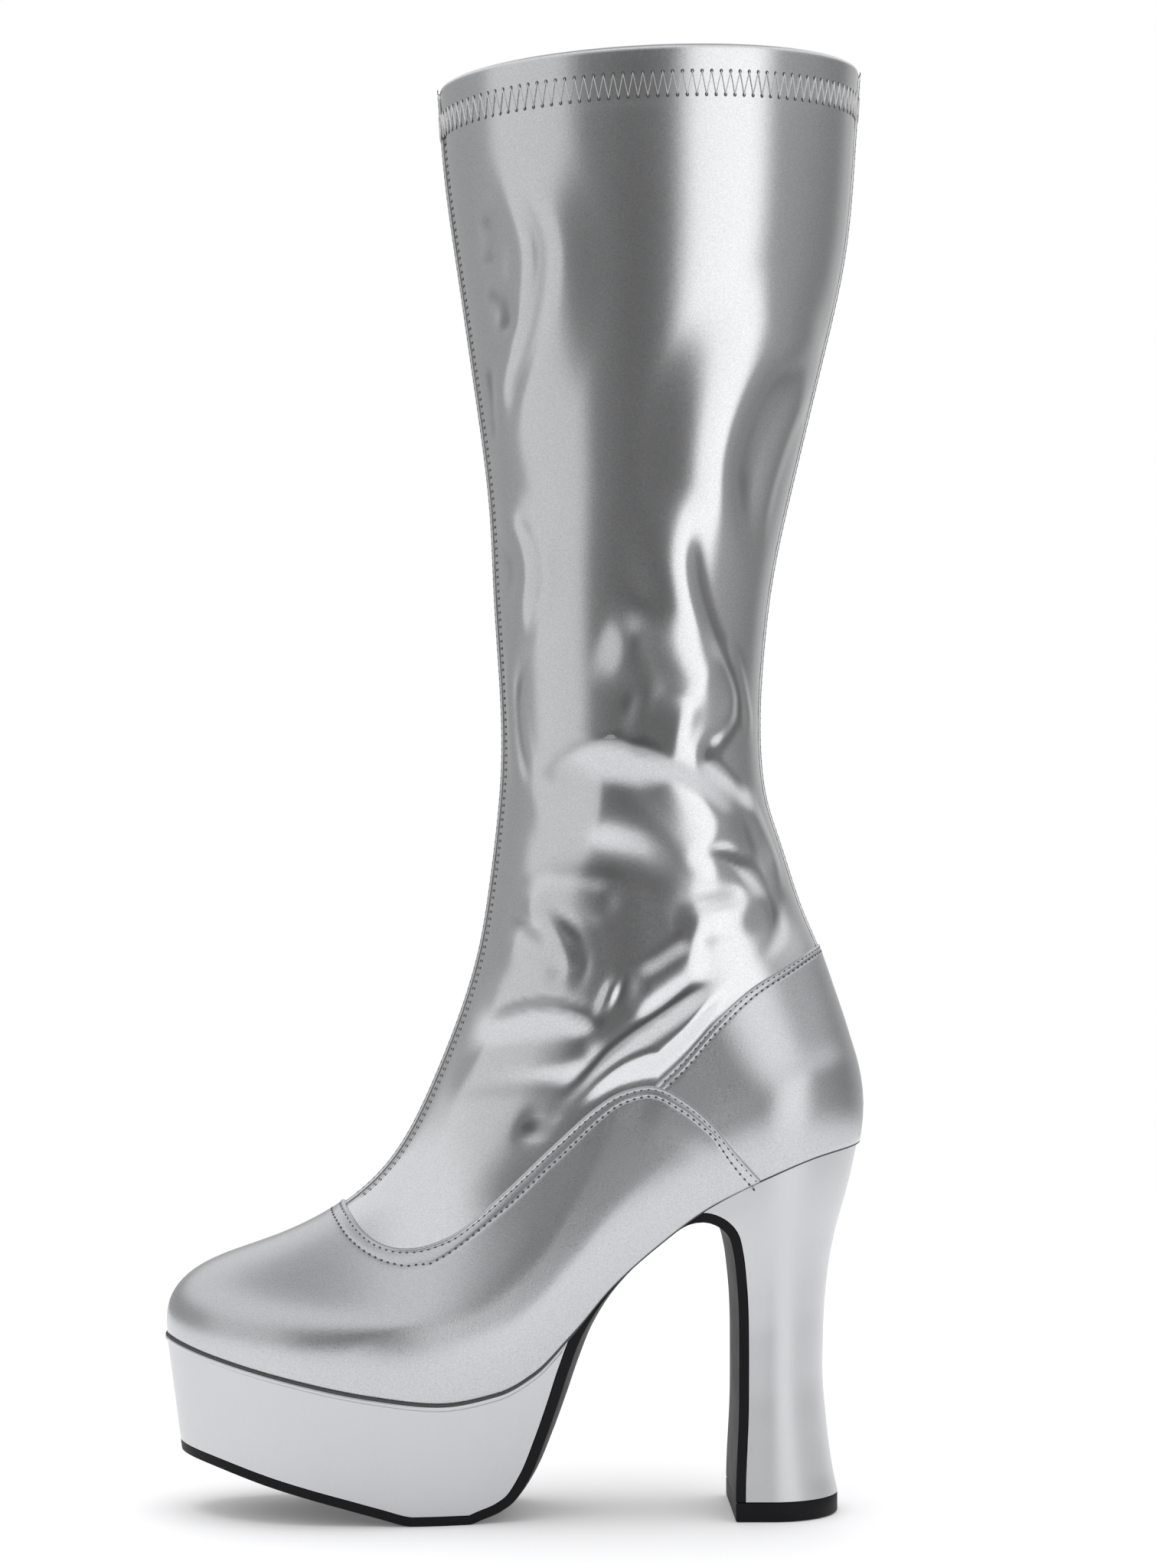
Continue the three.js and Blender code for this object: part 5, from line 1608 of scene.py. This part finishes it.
class MakeHeel(bpy.types.Operator):
    """Makes the covered block heel"""

    bl_idname = "boot.make_heel"
    bl_label = "Make Heel"

    def execute(self, context):
        form, s = boot_form(), context.scene.boot_sizes
        inset = s.outsole_thickness + s.overlay_gap
        start = form.place_at_x(form.x_at(0.25))
        end = form.bottom_run[-1]
        places = start + (end - start) * np.linspace(0, 1, 110)
        body = Patches()
        walls = []
        part = np.linspace(0, 1, 56)
        for inner in (False, True):
            around, deep = form.meet(places, inset, inner)
            deep[-1] = 1.0
            side = 2 - around if inner else around
            turned = int(np.argmax(deep > 0.1))
            row = np.arange(len(places))
            back = np.where(row < turned, deep[turned] * (row + 1) / (turned + 1), deep)
            rows_round = mix(side[:, None], 1.0, part[None])
            rows_down = mix(deep[:, None], back[:, None], ease(part)[None])
            top_round = mix(side[0], 1.0, part)[None]
            rows_round = np.vstack([top_round, rows_round])
            rows_down = np.vstack([0 * top_round, rows_down])
            walls.append(form.sole(2 - rows_round if inner else rows_round, rows_down))
        left, right = walls
        body.grid(left)
        body.grid(right)
        breast = across_rows(form, left[1:, 0], right[1:, 0], places, inset, steps=15)
        body.grid(breast)
        body.grid(np.stack([left[0], right[0]], axis=0))
        body.cap(np.vstack([left[0, :1], left[1, :1], breast[0, 1:-1], right[1, :1], right[0, :1]]))
        body.cap(np.vstack([breast[-1], right[-1, 1:], left[-1, -2:0:-1]]))
        body.add("heel", satin_cover(), "satin_cover", crisp=38)
        return {"FINISHED"}


class MakeOutsole(bpy.types.Operator):
    """Makes the thin black outsole, from the toe to the foot of the heel's breast"""

    bl_idname = "boot.make_outsole"
    bl_label = "Make Outsole"

    def execute(self, context):
        form, s = boot_form(), context.scene.boot_sizes
        end = form.bottom_run[-1]
        part = np.linspace(0, 1, 260) ** 1.35
        body, edges = Patches(), []
        for inset in (0.0, s.outsole_thickness):
            first = form.first_place(inset)
            places = first + (end - first) * part
            sides = []
            for inner in (False, True):
                around, down = form.meet(places, inset, inner)
                wall = form.sole(around, down)
                sides.append(form.under(places, wall[:, 1], inset))
            edges.append(across_rows(form, sides[0], sides[1], places, inset, steps=19))
        low, high = edges
        loop = np.concatenate([low, high[:, ::-1]], axis=1)
        rows, columns = loop.shape[:2]
        start = body.start(loop)
        body.faces += grid_faces(rows, columns, start, around=True)
        body.cap(loop[-1])
        body.cap(loop[0])
        body.add("outsole", black_rubber(), "black_rubber", crisp=38)
        return {"FINISHED"}


# The top lift's wall, whose edges are eased: level in its usual thickness, and pull inwards
LIFT_LEVELS = (
    (0.0, 0.0012), (0.00018, 0.00045), (0.0006, 0.0), (0.0035, 0.0), (0.006, 0.0), (0.0065, 0.0004),
)


class MakeTopLift(bpy.types.Operator):
    """Makes the black plate that the heel stands on"""

    bl_idname = "boot.make_top_lift"
    bl_label = "Make Top Lift"

    def execute(self, context):
        s = context.scene.boot_sizes
        turn = np.linspace(-math.pi / 2, math.pi / 2, 49)
        back, half = s.tip_length / 2, s.tip_width / 2
        x = np.r_[back - s.tip_round + s.tip_round * np.cos(turn), -back, -back]
        y = np.r_[half * np.sin(turn), half, -half]
        front = np.linspace(half, -half, 9)[1:-1]
        x, y = np.r_[x[:-1], np.full(len(front), -back), x[-1:]], np.r_[y[:-1], front, y[-1:]]
        scale = s.lift_thickness / LIFT_LEVELS[-1][0]
        rows = []
        for rise, pull in LIFT_LEVELS:
            z = np.full(len(x), rise * scale)
            rows.append(np.stack([x * (1 - pull / back), y * (1 - pull / half), z], axis=1))
        body = Patches()
        start = body.start(np.stack(rows))
        body.faces += grid_faces(len(rows), len(x), start, around=True)
        body.cap(rows[0])
        body.cap(rows[-1])
        body.add("top_lift", black_rubber(), "black_rubber", crisp=50)
        return {"FINISHED"}


class MakeInsole(bpy.types.Operator):
    """Makes the insole with its cloth sock"""

    bl_idname = "boot.make_insole"
    bl_label = "Make Insole"

    def execute(self, context):
        form, s = boot_form(), context.scene.boot_sizes
        inset = -s.upper_wall - s.overlay_gap
        around = (1 - np.cos(np.linspace(0, math.pi, 90))) / 2
        part = np.linspace(0, 1, 13)[None, :, None]
        left, right = (form.rim(w, inset)[0] for w in (around, 2 - around))
        floor = left[:, None] * (1 - part) + right[:, None] * part
        edge = np.minimum(1.0, np.minimum(part, 1 - part) * 12)[..., 0]
        sock = floor.copy()
        sock[..., 2] += s.insole_thickness - 0.0006 * (1 - edge) ** 2
        body = Patches()
        body.grid(floor)
        body.grid(sock)
        body.grid(np.stack([floor[:, 0], sock[:, 0]]))
        body.grid(np.stack([floor[:, -1], sock[:, -1]]))
        body.add("insole", sole_lining(), "sole_lining", crisp=50)
        return {"FINISHED"}


# Stage

# The studio's brightness round the boot: degrees from behind the camera towards the heel, value
STUDIO_BANDS = (
    (-180, 0.5), (-150, 0.42), (-110, 0.42), (-88, 0.44), (-76, 0.78), (-38, 0.74), (-26, 0.22), (-5, 0.15),
    (8, 0.17), (20, 1.3), (46, 1.4), (60, 0.4), (112, 0.28), (140, 0.5), (180, 0.8),
)

# Where the middle of the floor and the camera are
FLOOR_MIDDLE = (-0.09, 0.33, 0.0)
CAMERA_PLACE = (-0.092, -1.1, 0.208)


class MakeStage(bpy.types.Operator):
    """Makes the floor, the studio's light and the camera"""

    bl_idname = "boot.make_stage"
    bl_label = "Make Stage"

    def execute(self, context):
        scene = context.scene
        mesh = bpy.data.meshes.new("floor")
        steps = 96
        turn = np.linspace(0, 2 * math.pi, steps, endpoint=False)
        ring = np.stack([np.cos(turn), np.sin(turn), 0 * turn], axis=1)
        points = np.vstack([ring * r for r in (0.3, 0.6, scene.boot_sizes.floor_radius)]) + FLOOR_MIDDLE
        middle = list(range(steps))[::-1]
        mesh.from_pydata(points.tolist(), [], [*grid_faces(3, steps, around=True), middle])
        material, s = finish("floor_finish")
        if s:
            colour = scene.boot_colours.floor
            cloud = s.noise(4.0, 2.0)
            ground = s.blend(cloud, shade_of(colour, 0.995), shade_of(colour, 1.005))
            s.surface({"Base Color": ground, "Roughness": 0.6 + 0.05 * cloud,
                       "Emission Color": (1.0, 1.0, 1.0, 1.0), "Emission Strength": 0.12})
        mesh.materials.append(material)
        floor = bpy.data.objects.new("floor", mesh)
        scene.collection.objects.link(floor)
        self.light(scene)
        self.studio(scene)
        self.camera(scene)
        scene.view_settings.view_transform = "Standard"
        scene.view_settings.look = "None"
        return {"FINISHED"}

    def light(self, scene):
        """A wide soft light overhead, for the floor and the matt pieces."""
        lamp = bpy.data.lights.new("overhead", "AREA")
        lamp.shape = "DISK"
        lamp.size = 3.0
        lamp.energy = 56.0
        light = bpy.data.objects.new("overhead", lamp)
        light.location = (-0.2, -0.1, 3.0)
        light.visible_glossy = False
        scene.collection.objects.link(light)

    def studio(self, scene):
        """Soft panels and dark gaps round the boot, which its gloss shows."""
        world = bpy.data.worlds.new("studio")
        world.use_nodes = True
        scene.world = world
        s = Shading(world.node_tree)
        way = s.node("ShaderNodeTexCoord").outputs["Generated"]
        split = s.node("ShaderNodeSeparateXYZ", {}, {0: way})
        x, y, z = (Wire(s, split.outputs[k]) for k in range(3))
        turn = s.math("ARCTAN2", x, -y) / (2 * math.pi) + 0.5
        stops = [((a + 180) / 360, v) for a, v in STUDIO_BANDS]
        bands = s.wire("ShaderNodeValToRGB", {"stops": stops}, {0: turn})
        bands.socket.node.color_ramp.interpolation = "EASE"
        panel = s.blend(s.soft_step(z, 0.22, 0.46), bands, (0.95, 0.95, 0.96, 1.0))
        room = s.blend(s.soft_step(z, 0.72, 0.95), panel, (0.5, 0.5, 0.51, 1.0))
        seen = s.wire("ShaderNodeBackground", {}, {"Color": (1.0, 1.0, 1.0, 1.0)})
        lit = s.wire("ShaderNodeBackground", {}, {"Color": room})
        path = s.wire("ShaderNodeLightPath", output="Is Camera Ray")
        both = s.wire("ShaderNodeMixShader", {}, {0: path, 1: lit, 2: seen})
        out = s.node("ShaderNodeOutputWorld")
        s.tree.links.new(both.socket, out.inputs["Surface"])

    def camera(self, scene):
        """The photograph's view."""
        lens = bpy.data.cameras.new("photo_view")
        lens.sensor_width = 36.0
        lens.lens = 74.4
        lens.shift_x = 0.0415
        lens.shift_y = 0.0713
        lens.clip_start, lens.clip_end = 0.05, 60.0
        camera = bpy.data.objects.new("photo_view", lens)
        camera.location = CAMERA_PLACE
        camera.rotation_euler = (math.radians(90), 0, 0)
        scene.collection.objects.link(camera)
        scene.camera = camera


PIECE_MAKERS = (
    MakeUpper, MakeVamp, MakeCounter, MakeSeamTapes, MakeZigzag, MakeInsole, MakePlatform, MakeOutsole,
    MakeHeel, MakeTopLift, MakeSoleGapShadow,
)


class BootPanel(bpy.types.Panel):
    """The boot's makers, sizes and colours"""

    bl_idname = "VIEW3D_PT_boot"
    bl_label = "Platform Boot"
    bl_space_type = "VIEW_3D"
    bl_region_type = "UI"
    bl_category = "Boot"

    def draw(self, context):
        column = self.layout.column()
        for maker in (*PIECE_MAKERS, MakeStage):
            column.operator(maker.bl_idname)
        for group, kind in ((context.scene.boot_sizes, BootSizes), (context.scene.boot_colours, BootColours)):
            box = self.layout.box()
            for name in kind.__annotations__:
                box.prop(group, name)


CLASSES = (BootSizes, BootColours, *PIECE_MAKERS, MakeStage, BootPanel)


def register():
    for kind in CLASSES:
        bpy.utils.register_class(kind)
    bpy.types.Scene.boot_sizes = PointerProperty(type=BootSizes)
    bpy.types.Scene.boot_colours = PointerProperty(type=BootColours)


def unregister():
    del bpy.types.Scene.boot_colours
    del bpy.types.Scene.boot_sizes
    for kind in reversed(CLASSES):
        bpy.utils.unregister_class(kind)


def main():
    register()
    for maker in (MakeStage, *PIECE_MAKERS):
        group, name = maker.bl_idname.split(".")
        getattr(getattr(bpy.ops, group), name)()


if __name__ == "__main__":
    main()
